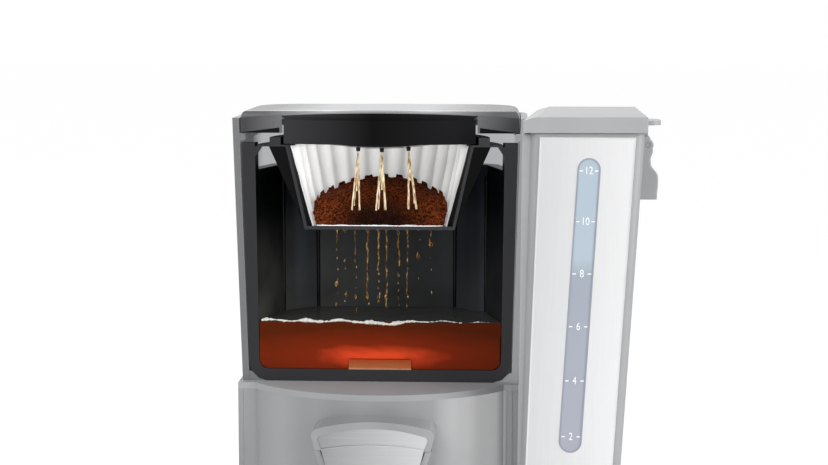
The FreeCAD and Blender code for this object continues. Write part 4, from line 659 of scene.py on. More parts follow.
def crepe_paper():
    """Bleached crepe paper with painted shade in the folds that lie towards the basket, painted light that is
    stronger at the left, and a painted glow.
    """
    material, add, place = start_material("bleached_crepe_paper")
    fibres = add("TexNoise", {"Vector": place, "Scale": per_mm(0.5), "Detail": 4.0})
    tone = add("ValToRGB", {0: fibres}, stops=((0, "ececea"), (1, "ffffff")))
    away = add("VectorMath", {0: place, 1: axis}, operation="SUBTRACT")
    flat = add("VectorMath", {0: away, 1: (1.0, 1.0, 0.0)}, operation="MULTIPLY")
    radius = add("VectorMath", {0: flat}, operation="LENGTH")
    rise = add("SeparateXYZ", {0: away}).outputs["Z"]
    cone = add("MapRange", {"Value": rise, "From Max": FILTER_H, "To Min": FOOT_RADIUS, "To Max": RIM_RADIUS})
    share = add("Math", {0: radius, 1: cone}, operation="DIVIDE")
    # Painted shade in the folds that lie towards the basket.
    fold_shade = add("MapRange", {"Value": share, "From Min": 1 - 0.7 * FOLD_RIM, "From Max": 1 - 0.3 * FOLD_RIM,
                            "To Min": 1.0, "To Max": 0.5})
    # Painted light from the left: the left of the filter is lighter, the right darker.
    side = add("MapRange", {"Value": across_tank(add, place), "From Min": 0.2, "From Max": 0.8,
                            "To Min": 1.14, "To Max": 0.84})
    light = add("Math", {0: fold_shade, 1: side}, operation="MULTIPLY")
    shaded = add("VectorMath", {0: tone, "Scale": light}, operation="SCALE")
    squeeze = add("Mapping", {"Vector": place, "Scale": (0.25, 0.25, 1.0)})
    crepe = add("TexNoise", {"Vector": squeeze, "Scale": per_mm(0.8), "Detail": 2.0})
    bump = add("Bump", {"Height": crepe, "Distance": 0.06 * MM, "Strength": 0.5})
    # The emission is a painted glow that keeps the paper bright.
    end_material(add, {"Base Color": shaded, "Roughness": 0.9, "Normal": bump,
                       "Emission Color": shaded, "Emission Strength": 0.6})
    return material


white_paper = crepe_paper()

# %% Fluted filter


def column_of(p):
    """Number of the column of points that a place round the axis belongs to."""
    turn = math.atan2(p.y - axis.y, p.x - axis.x) % (2 * math.pi)
    return round(turn / (2 * math.pi) * 2 * FLUTES)


def draw_in(obj, test, share):
    """Scale the points that pass the test towards the axis of the filter."""
    pick_points(obj, test)
    bpy.ops.transform.resize(value=(share, share, 1), center_override=axis)
    leave_edit()


bpy.ops.mesh.primitive_cylinder_add(vertices=2 * FLUTES, radius=RIM_RADIUS, depth=FILTER_H,
                                    end_fill_type="NOTHING", location=axis + Vector((0, 0, FILTER_H / 2)))
filter_sheet = bpy.context.object
bpy.ops.object.transform_apply(location=True, rotation=True, scale=True)
draw_in(filter_sheet, lambda p: p.z < axis.z + FILTER_H / 2, FOOT_RADIUS / RIM_RADIUS)
pick_edges(filter_sheet, lambda a, b: abs(a.z - b.z) > FILTER_H / 2)
bpy.ops.mesh.subdivide(number_cuts=RINGS)
leave_edit()
for ring in range(RINGS + 2):
    height = axis.z + FILTER_H * ring / (RINGS + 1)
    share = 1 - (FOLD_FOOT + (FOLD_RIM - FOLD_FOOT) * ring / (RINGS + 1))
    draw_in(filter_sheet, lambda p: abs(p.z - height) < MM and column_of(p) % 2 == 1, share)

bpy.ops.mesh.primitive_circle_add(vertices=2 * FLUTES, radius=FOOT_RADIUS * (1 - FOLD_FOOT), fill_type="NGON",
                                  location=axis + Vector((0, 0, PAPER_T)))
filter_sheet = join([filter_sheet, bpy.context.object])
modify(filter_sheet, "SUBSURF", levels=2)
pick_points(filter_sheet, lambda p: True)
bpy.ops.mesh.bisect(plane_co=axis, plane_no=(0, 1, 0), clear_inner=True)
leave_edit()
modify(filter_sheet, "DISPLACE", texture=clouds("crease", 0.012), strength=0.8 * MM, mid_level=0.5)
modify(filter_sheet, "SOLIDIFY", thickness=PAPER_T, offset=0)
finish_piece(filter_sheet, "fluted_filter", white_paper, "housing", ["paper_filter"])

# %% [markdown]
# ## Coffee grounds
# Ground coffee is a heap of grains under a millimetre wide. Thousands of loose grains would be heavy, so the
# CAD heap is copied, rebuilt from small voxels and roughened twice: broad lumps first, then grains. Its edge
# follows the flutes of the paper. Two noises in the colour give wet dark grains among drier ones.

# %% Grounds material
# The heap darkens towards a low point in its middle; this oval gives its size.
DARK_DEPTH = 13 * MM
DARK_HALF = 42 * MM
DARK_RISE = 4 * MM
heap_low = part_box("coffee_grounds")[0]


def oval_reach(add, place, centre, half_width, half_height):
    """Distance from a point in x and z, where 1 is the edge of an oval of this size."""
    away = add("VectorMath", {0: place, 1: centre}, operation="SUBTRACT")
    scaled = add("VectorMath", {0: away, 1: (1 / half_width, 0.0, 1 / half_height)}, operation="MULTIPLY")
    return add("VectorMath", {0: scaled}, operation="LENGTH")


def ground_coffee():
    """Brown grains, darker low in the middle."""
    material, add, place = start_material("wet_ground_coffee")
    grains = add("TexVoronoi", {"Vector": place, "Scale": per_mm(0.9)})
    speck = add("TexNoise", {"Vector": place, "Scale": per_mm(1.6), "Detail": 3.0})
    mixed = add("Math", {0: grains.outputs["Color"], 1: speck}, operation="MULTIPLY")
    tone = add("ValToRGB", {0: mixed}, stops=((0.08, "240b04"), (0.62, "9c4a20")))
    reach = oval_reach(add, place, (TANK_X, SECTION_Y, heap_low.z + DARK_RISE), DARK_HALF, DARK_DEPTH)
    low_dark = add("MapRange", {"Value": reach, "From Min": 0.35, "From Max": 1.0, "To Min": 0.12, "To Max": 1.0})
    toned = add("VectorMath", {0: tone, "Scale": low_dark}, operation="SCALE")
    bump = add("Bump", {"Height": grains.outputs["Distance"], "Distance": 0.5 * MM, "Strength": 0.8})
    end_material(add, {"Base Color": toned, "Roughness": 0.75, "Specular IOR Level": 0.06, "Normal": bump})
    return material


wet_grounds = ground_coffee()

# %% Grounds heap
HEAP_SPREAD = 0.95
SHOULDER = (32 * MM, 40 * MM)
SHOULDER_FOOT = heap_low.z + 12 * MM
SHOULDER_RISE = 5.6 * MM
SHOULDER_SPREAD = 1.08
FLUTE_STEP = 2.7 * MM
FLUTE_FOOT = heap_low.z + 11 * MM
HEAP_EDGE = 0.84              # share of the paper's radius where the edge of the heap begins


def from_axis(p):
    """Distance of a place from the axis of the filter."""
    return math.hypot(p.x - axis.x, p.y - axis.y)


def in_flute(p, parity):
    """Edge of the heap that lies in the outer folds, or against the inner ones."""
    cone = FOOT_RADIUS + (RIM_RADIUS - FOOT_RADIUS) * (p.z - axis.z) / FILTER_H
    return from_axis(p) > HEAP_EDGE * cone and p.z > FLUTE_FOOT and column_of(p) % 2 == parity


grounds = cad_copy("coffee_grounds")
draw_in(grounds, lambda p: True, HEAP_SPREAD)
modify(grounds, "REMESH", mode="VOXEL", voxel_size=1.0 * MM)
pick_points(grounds, lambda p: SHOULDER[0] < from_axis(p) < SHOULDER[1] and p.z > SHOULDER_FOOT)
bpy.ops.transform.translate(value=(0, 0, SHOULDER_RISE), **soft_edit(12 * MM))
bpy.ops.transform.resize(value=(SHOULDER_SPREAD, SHOULDER_SPREAD, 1), center_override=axis,
                         **soft_edit(8 * MM))
leave_edit()
for parity, step in ((0, FLUTE_STEP), (1, -FLUTE_STEP)):
    shift(grounds, lambda p: in_flute(p, parity), (0, 0, step))
modify(grounds, "DISPLACE", texture=clouds("lumps", 0.006), strength=1.6 * MM, mid_level=0.5)
modify(grounds, "DISPLACE", texture=clouds("grains", 0.0014), strength=1.0 * MM, mid_level=0.6)
finish_piece(grounds, "grounds_heap", wet_grounds, "housing", ["coffee_grounds"])

# %% [markdown]
# ## Brewed coffee
# The coffee is clear and brown, with a red-orange glow low in the middle where the warm plate lights it from
# below. Real absorption would need a long render, so that glow is painted: the colour itself runs from
# red-orange low in the middle to brown at the sides, and the shader measures the distance to that bright
# point. The top is painted dark as shade and gets ripples, and a rope of froth floats along the cut edge.

# %% Coffee
GLOW_HALF_WIDTH = 128 * MM
GLOW_HEIGHT = 23 * MM
GLOW_RISE = 9 * MM
SURFACE_DEPTH = 0.7 * MM
coffee_low, coffee_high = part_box("brewed_coffee")


def brewed_coffee():
    """Brown liquid with a painted red-orange glow low in the middle and a top painted dark as shade."""
    material, add, place = start_material("brewed_coffee")
    # Painted glow: red-orange near a point low in the middle, brown away from it.
    reach = oval_reach(add, place, (TANK_X, 0.0, coffee_low.z + GLOW_RISE), GLOW_HALF_WIDTH, GLOW_HEIGHT)
    drawn = add("Mapping", {"Vector": place, "Scale": (0.35, 1.0, 1.0)})
    swirl = add("TexNoise", {"Vector": drawn, "Scale": per_mm(7), "Detail": 3.0})
    shaken = add("Math", {0: swirl, 1: 0.24, 2: reach}, operation="MULTIPLY_ADD")
    tone = add("ValToRGB", {0: shaken}, stops=((0.22, "e44a26"), (0.5, "7e280e"), (1, "541f09")))
    # Painted shade: the top faces are painted dark.
    normal = add("NewGeometry").outputs["True Normal"]
    upward = add("SeparateXYZ", {0: normal}).outputs["Z"]
    is_top = add("Math", {0: upward, 1: 0.5}, operation="GREATER_THAN")
    colour = add("Mix", {"Factor": is_top, "A": tone, "B": linear("3c3c3b")}, data_type="RGBA")
    # A faint emission adds to the painted glow.
    end_material(add, {"Base Color": colour, "Roughness": 0.16, "IOR": 1.34, "Specular IOR Level": 0.06,
                       "Emission Color": colour, "Emission Strength": 0.04})
    return material


coffee = cad_copy("brewed_coffee")
modify(coffee, "REMESH", mode="VOXEL", voxel_size=1.2 * MM)
surface = coffee.vertex_groups.new(name="surface")
surface.add([v.index for v in coffee.data.vertices if v.co.z > coffee_high.z - SURFACE_DEPTH], 1.0, "REPLACE")
modify(coffee, "DISPLACE", texture=clouds("ripples", 0.016), strength=1.2 * MM, mid_level=0.6, direction="Z",
       vertex_group="surface")
finish_piece(coffee, "coffee_pool", brewed_coffee(), "housing", ["brewed_coffee"])

# %% Froth material


def coffee_froth():
    """Pale bubbles under a millimetre wide."""
    material, add, place = start_material("pale_coffee_froth")
    cells = add("TexVoronoi", {"Vector": place, "Scale": per_mm(0.7)}).outputs["Distance"]
    tone = add("ValToRGB", {0: cells}, stops=((0, "fbfbf6"), (1, "cfcabf")))
    bump = add("Bump", {"Height": cells, "Distance": 0.3 * MM})
    end_material(add, {"Base Color": tone, "Roughness": 0.5, "Normal": bump})
    return material


pale_froth = coffee_froth()

# %% Froth
FROTH_END = 2.0 * MM
FROTH_STEP = 1.5 * MM
FROTH_THIN = 0.42
FROTH_FADE = 0.68
FROTH_SAG = 1.5
SAG_WIDTH = 0.1
# Each wave of the line: height in millimetres, turn at each step, and turn at the start
FROTH_WAVES = ((0.45, 0.4, 0), (0.35, 0.17, 1))
ISLAND_WIDTH = 0.025
# Each island: its share of the way across, and its size
FROTH_ISLANDS = ((0.02, 0.8), (0.10, 0.5), (0.19, 1.3), (0.24, 0.8), (0.32, 0.9), (0.40, 0.5), (0.46, 1.2),
                 (0.51, 1.0), (0.57, 1.3), (0.63, 0.4))
coffee_half = (coffee_high.x - coffee_low.x) / 2 - FROTH_END
steps = int(2 * coffee_half / FROTH_STEP)
froth_line = []
for i in range(steps + 1):
    t = i / steps
    x = TANK_X - coffee_half + 2 * coffee_half * t
    sag = FROTH_SAG * math.exp(-(((t - 0.5) / SAG_WIDTH) ** 2))
    wave = sum(high * math.sin(i * turn + start) for high, turn, start in FROTH_WAVES) - sag
    swell = sum(size * math.exp(-(((t - at) / ISLAND_WIDTH) ** 2)) for at, size in FROTH_ISLANDS)
    fade = 0.3 * max(0, t - FROTH_FADE) / (1 - FROTH_FADE)
    thick = (FROTH_THIN - fade + swell) * DRAWS.uniform(0.8, 1.2)
    froth_line.append((x, SECTION_Y + 0.5 * MM, coffee_high.z + (wave + 0.25 * thick) * MM, thick * MM))
froth = strand(froth_line)
modify(froth, "SUBSURF", levels=1)
modify(froth, "DISPLACE", texture=clouds("foam", 0.0016), strength=1.1 * MM, mid_level=0.5)
finish_piece(froth, "coffee_froth", pale_froth, "housing")

# %% [markdown]
# ## Falling water
# Hot water leaves three nozzles of the spray plate and splits into a few strands. A fluid simulation would
# take minutes for a still picture, so each strand is a curve with its own radius at every point, turned to
# a mesh.

# %% Water material


def streaked(name, grain, stretch, stops, roughness, painted_glow, ior):
    """A clear liquid in free fall, with painted streaks of reflected light along the fall and a faint painted
    glow.
    """
    material, add, place = start_material(name)
    drawn = add("Mapping", {"Vector": place, "Scale": (1.0, 1.0, stretch)})
    painted_sheen = add("TexNoise", {"Vector": drawn, "Scale": per_mm(grain), "Detail": 2.0})
    tone = add("ValToRGB", {0: painted_sheen}, stops=stops)
    end_material(add, {"Base Color": tone, "Roughness": roughness, "IOR": ior, "Emission Color": tone,
                       "Emission Strength": painted_glow})
    return material


# The pale stops are painted highlights, and the emission a faint painted glow.
hot_water = streaked("golden_hot_water", 0.8, 0.12, ((0.35, "a8792e"), (0.62, "fff4d6")), 0.08, 0.12, 1.33)
# In the drips the dark stops are painted shade and the pale ones painted highlights.
amber_coffee = streaked("amber_drips", 0.9, 0.3, ((0.36, "1c1204"), (0.54, "6e4a18"), (0.78, "d6bc88")),
                        0.06, 0.06, 1.34)

# %% Jets
jet_low, jet_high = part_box("water_jets")
JET_Y = (jet_low.y + jet_high.y) / 2
# Each nozzle: place across, depth below the CAD jet, and its strands as end place, share of the fall and bulk
JET_FALLS = (
    (-15.0, 5.0, ((-4.2, 1.0, 0.62), (-1.5, 0.62, 0.5), (1.2, 1.0, 0.72), (-2.8, 0.85, 0.3))),
    (1.0, 5.0, ((-3.8, 1.0, 0.7), (-2.2, 0.9, 0.4), (0.4, 0.6, 0.55), (2.8, 1.0, 0.85))),
    (19.0, 0.5, ((0.4, 1.0, 0.8), (2.2, 0.5, 0.4), (5.6, 1.0, 0.72), (4.6, 0.9, 0.35))),
)
JET_STEPS = 9
JET_LEAN = 5.5
JET_START = 0.5
JET_CURVE = 0.85
JET_FAN = 0.5
JET_SHAKE = 0.12
JET_BULGE = (0.85, 1.15)
strands = []
for start, sink, ends in JET_FALLS:
    top_x = TANK_X + start * MM
    fall = jet_high.z - jet_low.z + sink * MM
    for i, (end, share, bulk) in enumerate(ends):
        points = []
        for step in range(JET_STEPS):
            t = share * step / (JET_STEPS - 1)
            spread = end * t ** JET_CURVE + DRAWS.uniform(-JET_SHAKE, JET_SHAKE)
            depth = (i - 1) * JET_FAN * t - JET_LEAN * t
            thick = (JET_START + (bulk - JET_START) * t) * DRAWS.uniform(*JET_BULGE)
            points.append((top_x + spread * MM, JET_Y + depth * MM, jet_high.z - fall * t, thick * MM))
        strands.append(strand(points))
jets = join(strands)
finish_piece(jets, "water_strands", hot_water, "housing", ["water_jets"])

# %% [markdown]
# ## Drips
# Below the basket the coffee falls in thin threads that neck down between beads, and then in loose drops. The
# table gives the place and length of each thread as they hang in the picture. A seeded draw makes them
# wander, so they come out the same at each run.

# %% Threads and drops
# Each thread: place across, share of the fall where it ends, bulk, and its loose drops as share and size
DRIPS = (
    (-29.5, 0.16, 0.35, ((0.24, 0.5), (0.33, 0.4), (0.45, 0.45), (0.61, 1.25), (0.72, 0.45), (0.84, 0.75))),
    (-24.0, 0.05, 0.40, ((0.36, 0.5), (0.44, 0.6), (0.73, 0.8), (0.80, 0.4))),
    (-17.0, 0.30, 0.35, ((0.36, 0.5), (0.43, 0.45), (0.54, 0.4), (0.66, 0.35), (0.76, 0.9), (0.90, 0.6))),
    (-8.5, 0.78, 0.62, ((0.83, 0.5),)),
    (-1.5, 0.46, 0.50, ((0.50, 0.7), (0.58, 0.5), (0.66, 0.5), (0.75, 1.0), (0.80, 0.7))),
    (4.0, 0.88, 0.55, ((0.48, 0.8), (0.74, 1.1))),
    (12.5, 0.41, 0.60, ((0.52, 0.8), (0.60, 0.5), (0.68, 0.4), (0.77, 0.6), (0.84, 0.45))),
    (18.0, 0.72, 0.42, ((0.56, 0.5), (0.75, 0.6), (0.85, 0.55))),
    (26.0, 0.02, 0.30, ((0.12, 0.45), (0.31, 1.2), (0.55, 0.3))),
    (34.0, 0.10, 0.30, ((0.17, 1.3), (0.32, 0.3), (0.45, 0.3), (0.70, 0.45))),
)
DRIP_STEP = 2.0 * MM
THREAD_BULK = 1.5
THREAD_BULGE = (0.6, 1.15)
THREAD_TAPER = 0.35
THREAD_SHAKE = 0.3
THREAD_HOLD = 0.8             # share of its drift that a thread keeps at the next step
NECK_R = 1.1
NECK_SHARE = 0.04
BEAD = 0.9
DROP_BULK = 1.3
DROP_SHAKE = 0.3
DROP_STRAY = 0.8
# A drop's outline from its drawn-out top to its round foot, as height and radius
DROP_SHAPE = ((2.6, 0.05), (1.4, 0.35), (0.4, 0.95), (-0.5, 1.0), (-1.1, 0.6), (-1.4, 0.05))
drip_low, drip_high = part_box("coffee_drips")
DRIP_Y = (drip_low.y + drip_high.y) / 2
DRIP_FALL = drip_high.z - drip_low.z


def drip_thread(x, share, thick):
    """A thread that wanders as it falls, wide at the hole and beaded below."""
    count = max(4, int(share * DRIP_FALL / DRIP_STEP))
    drift = 0.0
    points = []
    for step in range(count):
        t = step / (count - 1)
        drift = THREAD_HOLD * drift + DRAWS.uniform(-THREAD_SHAKE, THREAD_SHAKE)
        neck = NECK_R * math.exp(-((t * share / NECK_SHARE) ** 2))
        bead = BEAD if step == count - 2 else 0.0
        radius = thick * DRAWS.uniform(*THREAD_BULGE) * (1 - THREAD_TAPER * t) + neck + bead * thick
        points.append((x + drift * MM, DRIP_Y + drift * MM / 2, drip_high.z - DRIP_FALL * share * t,
                       radius * MM))
    return strand(points)


def drop(x, share, size):
    """A loose falling drop, pulled out to a point at the top."""
    z = drip_high.z - DRIP_FALL * share
    tilt = DRAWS.uniform(-DROP_SHAKE, DROP_SHAKE) * size * MM
    return strand([(x + tilt * rise, DRIP_Y, z + rise * size * MM, wide * size * MM)
                   for rise, wide in DROP_SHAPE])


threads = []
for across, share, thick, drops in DRIPS:
    x = TANK_X + across * MM
    threads.append(drip_thread(x, share, THREAD_BULK * thick))
    for at, size in drops:
        threads.append(drop(x + DRAWS.uniform(-DROP_STRAY, DROP_STRAY) * MM, at, DROP_BULK * size))
drips = join(threads)
finish_piece(drips, "coffee_threads", amber_coffee, "housing", ["coffee_drips"])

# %% [markdown]
# ## Water gauge
# The window is blue-grey acrylic that shows the water behind it. Clear glass would show the inside of the
# CAD tank, which is empty, so the water is a tone of the window itself, paler above the water line. A raised
# rim frames the window. It could be swept along the edge, but a copy of the window's own front face, inset,
# opened and raised, follows that edge without any drawing.

# %% Window material
window_low, window_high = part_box("water_window")


def gauge_acrylic():
    """Polished blue-grey acrylic, paler above the water line."""
    material, add, place = start_material("blue_grey_acrylic")
    height = add("SeparateXYZ", {0: place}).outputs["Z"]
    share = add("MapRange", {"Value": height, "From Min": window_low.z, "From Max": window_high.z})
    tone = add("ValToRGB", {0: share}, stops=((0, "a6a9b6"), (0.60, "a0a8b4"), (0.66, "b0bfcb")))
    haze = add("TexNoise", {"Vector": place, "Scale": per_mm(20), "Detail": 2.0})
    rough = add("MapRange", {"Value": haze, "To Min": 0.12, "To Max": 0.24})
    end_material(add, {"Base Color": tone, "Roughness": rough, "IOR": 1.49, "Coat Weight": 0.3})
    return material


dress("water_window", gauge_acrylic())

# %% Window rim


def front_ring(made, width, height):
    """Turn a flat piece into a raised border along its front face."""
    front = min(point.co.y for point in made.data.vertices)
    pick_faces(made, lambda face: not (face.normal.y < -0.99 and abs(face.center.y - front) < 0.01 * MM))
    bpy.ops.mesh.delete(type="FACE")
    bpy.ops.mesh.select_all(action="SELECT")
    bpy.ops.mesh.dissolve_limited(angle_limit=math.radians(1))
    bpy.ops.mesh.select_all(action="SELECT")
    bpy.ops.mesh.inset(thickness=width)
    bpy.ops.mesh.delete(type="FACE")
    bpy.ops.mesh.select_all(action="SELECT")
    bpy.ops.mesh.extrude_region_move(TRANSFORM_OT_translate={"value": (0, -height, 0)})
    leave_edit()
    modify(made, "BEVEL", width=height / 3, segments=2, limit_method="ANGLE")
    return made


window_rim = front_ring(cad_copy("water_window"), width=1.0 * MM, height=0.35 * MM)
rim_grey = moulded("grey_window_rim", "8f94a0", "9aa0ab", 0.3)
finish_piece(window_rim, "window_rim", rim_grey, "reservoir", smooth=False)

# %% [markdown]
# ## Outlet plate and display
# A tan moulded plate covers the outlet at the foot of the tank, and a smoked lens covers the display. Their
# CAD shapes are right, so they only get a finish. The plate is paler towards its lower edge. That edge could
# be a second piece, but a ramp over the height, shaken by a noise, gives it a soft border.

# %% Outlet plate and display


def outlet_tan():
    """Tan moulded plate, paler towards its lower edge."""
    material, add, place = start_material("tan_outlet_screen")
    low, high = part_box("outlet_screen")
    height = add("SeparateXYZ", {0: place}).outputs["Z"]
    speckle = add("TexNoise", {"Vector": place, "Scale": per_mm(2.5), "Detail": 2.0})
    shaken = add("Math", {0: speckle, 1: 1.5 * MM, 2: height}, operation="MULTIPLY_ADD")
    share = add("MapRange", {"Value": shaken, "From Min": low.z, "From Max": high.z})
    tone = add("ValToRGB", {0: share}, stops=((0, "e2b090"), (0.3, "b4683c"), (1, "a8481c")))
    end_material(add, {"Base Color": tone, "Roughness": 0.45, "IOR": 1.5, "Specular IOR Level": 0.2})
    return material


dress("outlet_screen", outlet_tan())
dress("display_lens", moulded("smoked_lens", "16181b", "1f2226", 0.08, coat=0.5))

# %% [markdown]
# ## Steel sheet and figures
# The reservoir's front is a thin steel sheet that leans with it, with a bright rolled edge. A slab between
# four measured corners gives the sheet, and a ring along its front gives the edge. White figures with a
# short dash at both sides mark the cups. A printed picture would blur close by, so the figures are text
# turned to a thin mesh, which stays sharp.

# %% Steel sheet


def from_tank(*corners):
    """Places (x, z) from millimetres off the axis of the tank and above the table."""
    return [(TANK_X + x * MM, z * MM) for x, z in corners]


SHEET = from_tank((94.6, 50.3), (148.2, 50.3), (167.2, 375.7), (106.4, 375.7))
sheet = slab(SHEET, panel_low.y, panel_high.y)
modify(sheet, "BEVEL", width=0.2 * MM, segments=2)
finish_piece(sheet, "panel_sheet", panel_steel, "reservoir", ["steel_panel"], smooth=False)
panel_edge = front_ring(slab(SHEET, panel_low.y, panel_high.y), width=1.0 * MM, height=0.25 * MM)
finish_piece(panel_edge, "panel_edge", edge_steel, "reservoir", smooth=False)

# %% Figures
# Each mark: cups, and height above the table in millimetres
GAUGE = ((12, 354.5), (10, 322.1), (8, 288.5), (6, 254.4), (4, 219.1), (2, 182.5))
FIGURE_SIZE = 7.0 * MM
FIGURE_NARROW = 0.78
FIGURE_T = 0.12 * MM
DASH_LENGTH = 2.3 * MM
DASH_T = 0.75 * MM
DASH_OUT = 4.9 * MM
WINDOW_W = 15 * MM
low_x = window_low.x + WINDOW_W / 2
high_x = window_high.x - WINDOW_W / 2
print_y = window_low.y - FIGURE_T / 2


def block(centre, size):
    """A box whose place and size are in its points."""
    bpy.ops.mesh.primitive_cube_add(size=1, location=centre)
    made = bpy.context.object
    made.scale = size
    bpy.ops.object.transform_apply(location=True, rotation=True, scale=True)
    return made


marks = []
for cups, height in GAUGE:
    z = height * MM
    share = (z - window_low.z - WINDOW_W / 2) / (window_high.z - window_low.z - WINDOW_W)
    x = low_x + (high_x - low_x) * share
    bpy.ops.object.text_add(location=(x, print_y, z), rotation=(math.pi / 2, 0, 0))
    text = bpy.context.object
    text.data.body = str(cups)
    text.data.size = FIGURE_SIZE
    text.data.align_x = "CENTER"
    text.data.align_y = "CENTER"
    text.data.extrude = FIGURE_T
    text.scale.x = FIGURE_NARROW
    bpy.ops.object.convert(target="MESH")
    marks.append(bpy.context.object)
    for side in (-1, 1):
        marks.append(block((x + side * DASH_OUT, print_y, z), (DASH_LENGTH, 2 * FIGURE_T, DASH_T)))
        modify(marks[-1], "BEVEL", width=0.1 * MM, segments=2)
figures = join(marks)
white_print = moulded("white_gauge_print", "f4f6f8", "fdfefe", 0.5)
finish_piece(figures, "gauge_figures", white_print, "reservoir", smooth=False)

# %% [markdown]
# ## Lid
# The lid has a flat gloss top with a round edge, pale in the middle and darkened towards both ends by painted
# shade. One bevel would round it evenly, but the real edge flattens towards the top. So the top of a block
# with two round corners is inset and raised in five steps. A black wedge of painted shadow fills the gap
# under each end of the lid.

# %% Lid material


def lid_gloss():
    """Pale gloss plastic with painted shade that darkens it towards both ends of the lid."""
    material, add, place = start_material("lid_top_abs")
    x = add("SeparateXYZ", {0: place}).outputs["X"]
    out = add("Math", {0: x, 1: TANK_X}, operation="SUBTRACT")
    out = add("Math", {0: out}, operation="ABSOLUTE")
    cloud = add("TexNoise", {"Vector": place, "Scale": per_mm(25), "Detail": 2.0})
    shaken = add("Math", {0: cloud, 1: 14 * MM, 2: out}, operation="MULTIPLY_ADD")
    share = add("MapRange", {"Value": shaken, "From Min": 42 * MM, "From Max": 82 * MM})
    # Painted shade: the lid darkens towards both ends.
    tone = add("ValToRGB", {0: share}, stops=((0, "b4b5b7"), (1, "5e5f62")))
    end_material(add, {"Base Color": tone, "Roughness": 0.3, "IOR": 1.5, "Specular IOR Level": 0.3})
    return material


lid_skin = lid_gloss()

# %% Lid cover
LID_BACK = 98.3 * MM
LID_CORNER = 33.0 * MM
LID_FOOT = 383.4 * MM
LID_INSET = 0.2 * MM
LID_SET_BACK = 0.7 * MM
# Each step of the round edge: inset and rise in millimetres
LID_RINGS = ((0.2, 1.6), (0.4, 1.3), (0.7, 1.0), (1.1, 0.8), (1.8, 0.5))
lid_low, lid_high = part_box("brew_lid")
cover_front = SECTION_Y + LID_SET_BACK
cover_w = lid_high.x - lid_low.x - 2 * LID_INSET
cover_depth = SECTION_Y + LID_BACK - cover_front
cover_h = lid_high.z - sum(rise for inset, rise in LID_RINGS) * MM - LID_FOOT
cover_middle = cover_front + cover_depth / 2
cover = block((TANK_X, cover_middle, LID_FOOT + cover_h / 2), (cover_w, cover_depth, cover_h))
pick_edges(cover, lambda a, b: min(a.y, b.y) > cover_middle and abs(a.z - b.z) > cover_h / 2)
bpy.ops.mesh.bevel(offset=LID_CORNER, segments=12, affect="EDGES")
leave_edit()
pick_faces(cover, lambda face: face.normal.z > 0.9)
for inset, rise in LID_RINGS:
    bpy.ops.mesh.inset(thickness=inset * MM)
    bpy.ops.transform.translate(value=(0, 0, rise * MM))
leave_edit()
finish_piece(cover, "lid_cover", lid_skin, "lid", smooth=False)

# %% Lid shadow wedges
# A black wedge of painted shadow under each end of the lid, where the gap lies in shade.
WEDGE_IN = 67.3 * MM
WEDGE_OUT = 93.0 * MM
WEDGE_NEAR = SECTION_Y - 0.25 * MM
WEDGE_FAR = SECTION_Y + 1.5 * MM
wedge_top = lid_low.z + 3.6 * MM
wedge_tip = lid_low.z + 0.3 * MM
lid_shadow_wedges = join(both_sides([(WEDGE_IN, lid_low.z), (WEDGE_OUT, lid_low.z), (WEDGE_OUT, wedge_tip),
                             (WEDGE_IN, wedge_top)], WEDGE_NEAR, WEDGE_FAR))
modify(lid_shadow_wedges, "BEVEL", width=0.1 * MM, segments=2)
# Near-black, as painted shadow.
painted_shadow_black = moulded("painted_shadow_black", "060607", "101012", 0.7, gloss=0.1)
finish_piece(lid_shadow_wedges, "lid_shadow_wedges", painted_shadow_black, "lid", smooth=False)

# %% [markdown]
# ## Guide rails and flank
# Housing and reservoir lean away from each other, and thin strips close the view through the slit. Two rails
# are moulded to the housing's side. A flank runs along the reservoir's front edge, ahead of the housing, so
# that it lifts past the rails freely. All are slabs between walls that lean.

# %% Guide rails
# Walls as two points each, of height above the table and distance from the axis of the tank in millimetres
SHELL_SIDE = ((205.0, 93.7), (384.0, 99.1))
BODY_SIDE = ((60.0, 90.0), (201.0, 90.0))
RAIL_DEPTH = 4.0 * MM
RAIL_SUNK = 0.3
# Each rail: its wall, its span of heights, its width at foot and head, and its front
RAILS = (
    (SHELL_SIDE, (207.0, 372.0), (1.45, 0.6), SECTION_Y + 0.6 * MM),
    (BODY_SIDE, (60.0, 201.0), (2.0, 5.0), SECTION_Y - 6.4 * MM),
)


def lean(wall, height):
    """Place across of a leaning wall at this height."""
    (z0, x0), (z1, x1) = wall
    return x0 + (x1 - x0) * (height - z0) / (z1 - z0)


rails = []
for wall, (low, high), (foot_w, head_w), near in RAILS:
    foot = lean(wall, low)
    head = lean(wall, high)
    corners = from_tank((foot - RAIL_SUNK, low), (foot + foot_w, low), (head + head_w, high),
                        (head - RAIL_SUNK, high))
    rails.append(slab(corners, near, near + RAIL_DEPTH))
    modify(rails[-1], "BEVEL", width=0.15 * MM, segments=2)
housing_rails = join(rails)
finish_piece(housing_rails, "housing_rails", body_abs, "housing", smooth=False)

# %% Reservoir flank
RESERVOIR_SIDE = ((40.3, 92.5), (378.0, 100.9))
FLANK_LOW = 90.0
FLANK_HIGH = 377.6
FLANK_LEFT = (92.9, 94.9)     # at its foot and its head
FLANK_SUNK = 1.5
FLANK_NEAR = SECTION_Y - 58.5 * MM
FLANK_FAR = SECTION_Y - 49.0 * MM
corners = from_tank((FLANK_LEFT[0], FLANK_LOW), (lean(RESERVOIR_SIDE, FLANK_LOW) + FLANK_SUNK, FLANK_LOW),
                    (lean(RESERVOIR_SIDE, FLANK_HIGH) + FLANK_SUNK, FLANK_HIGH), (FLANK_LEFT[1], FLANK_HIGH))
flank = slab(corners, FLANK_NEAR, FLANK_FAR)
modify(flank, "BEVEL", width=0.6 * MM, segments=3)
finish_piece(flank, "reservoir_flank", reservoir_abs, "reservoir", smooth=False)

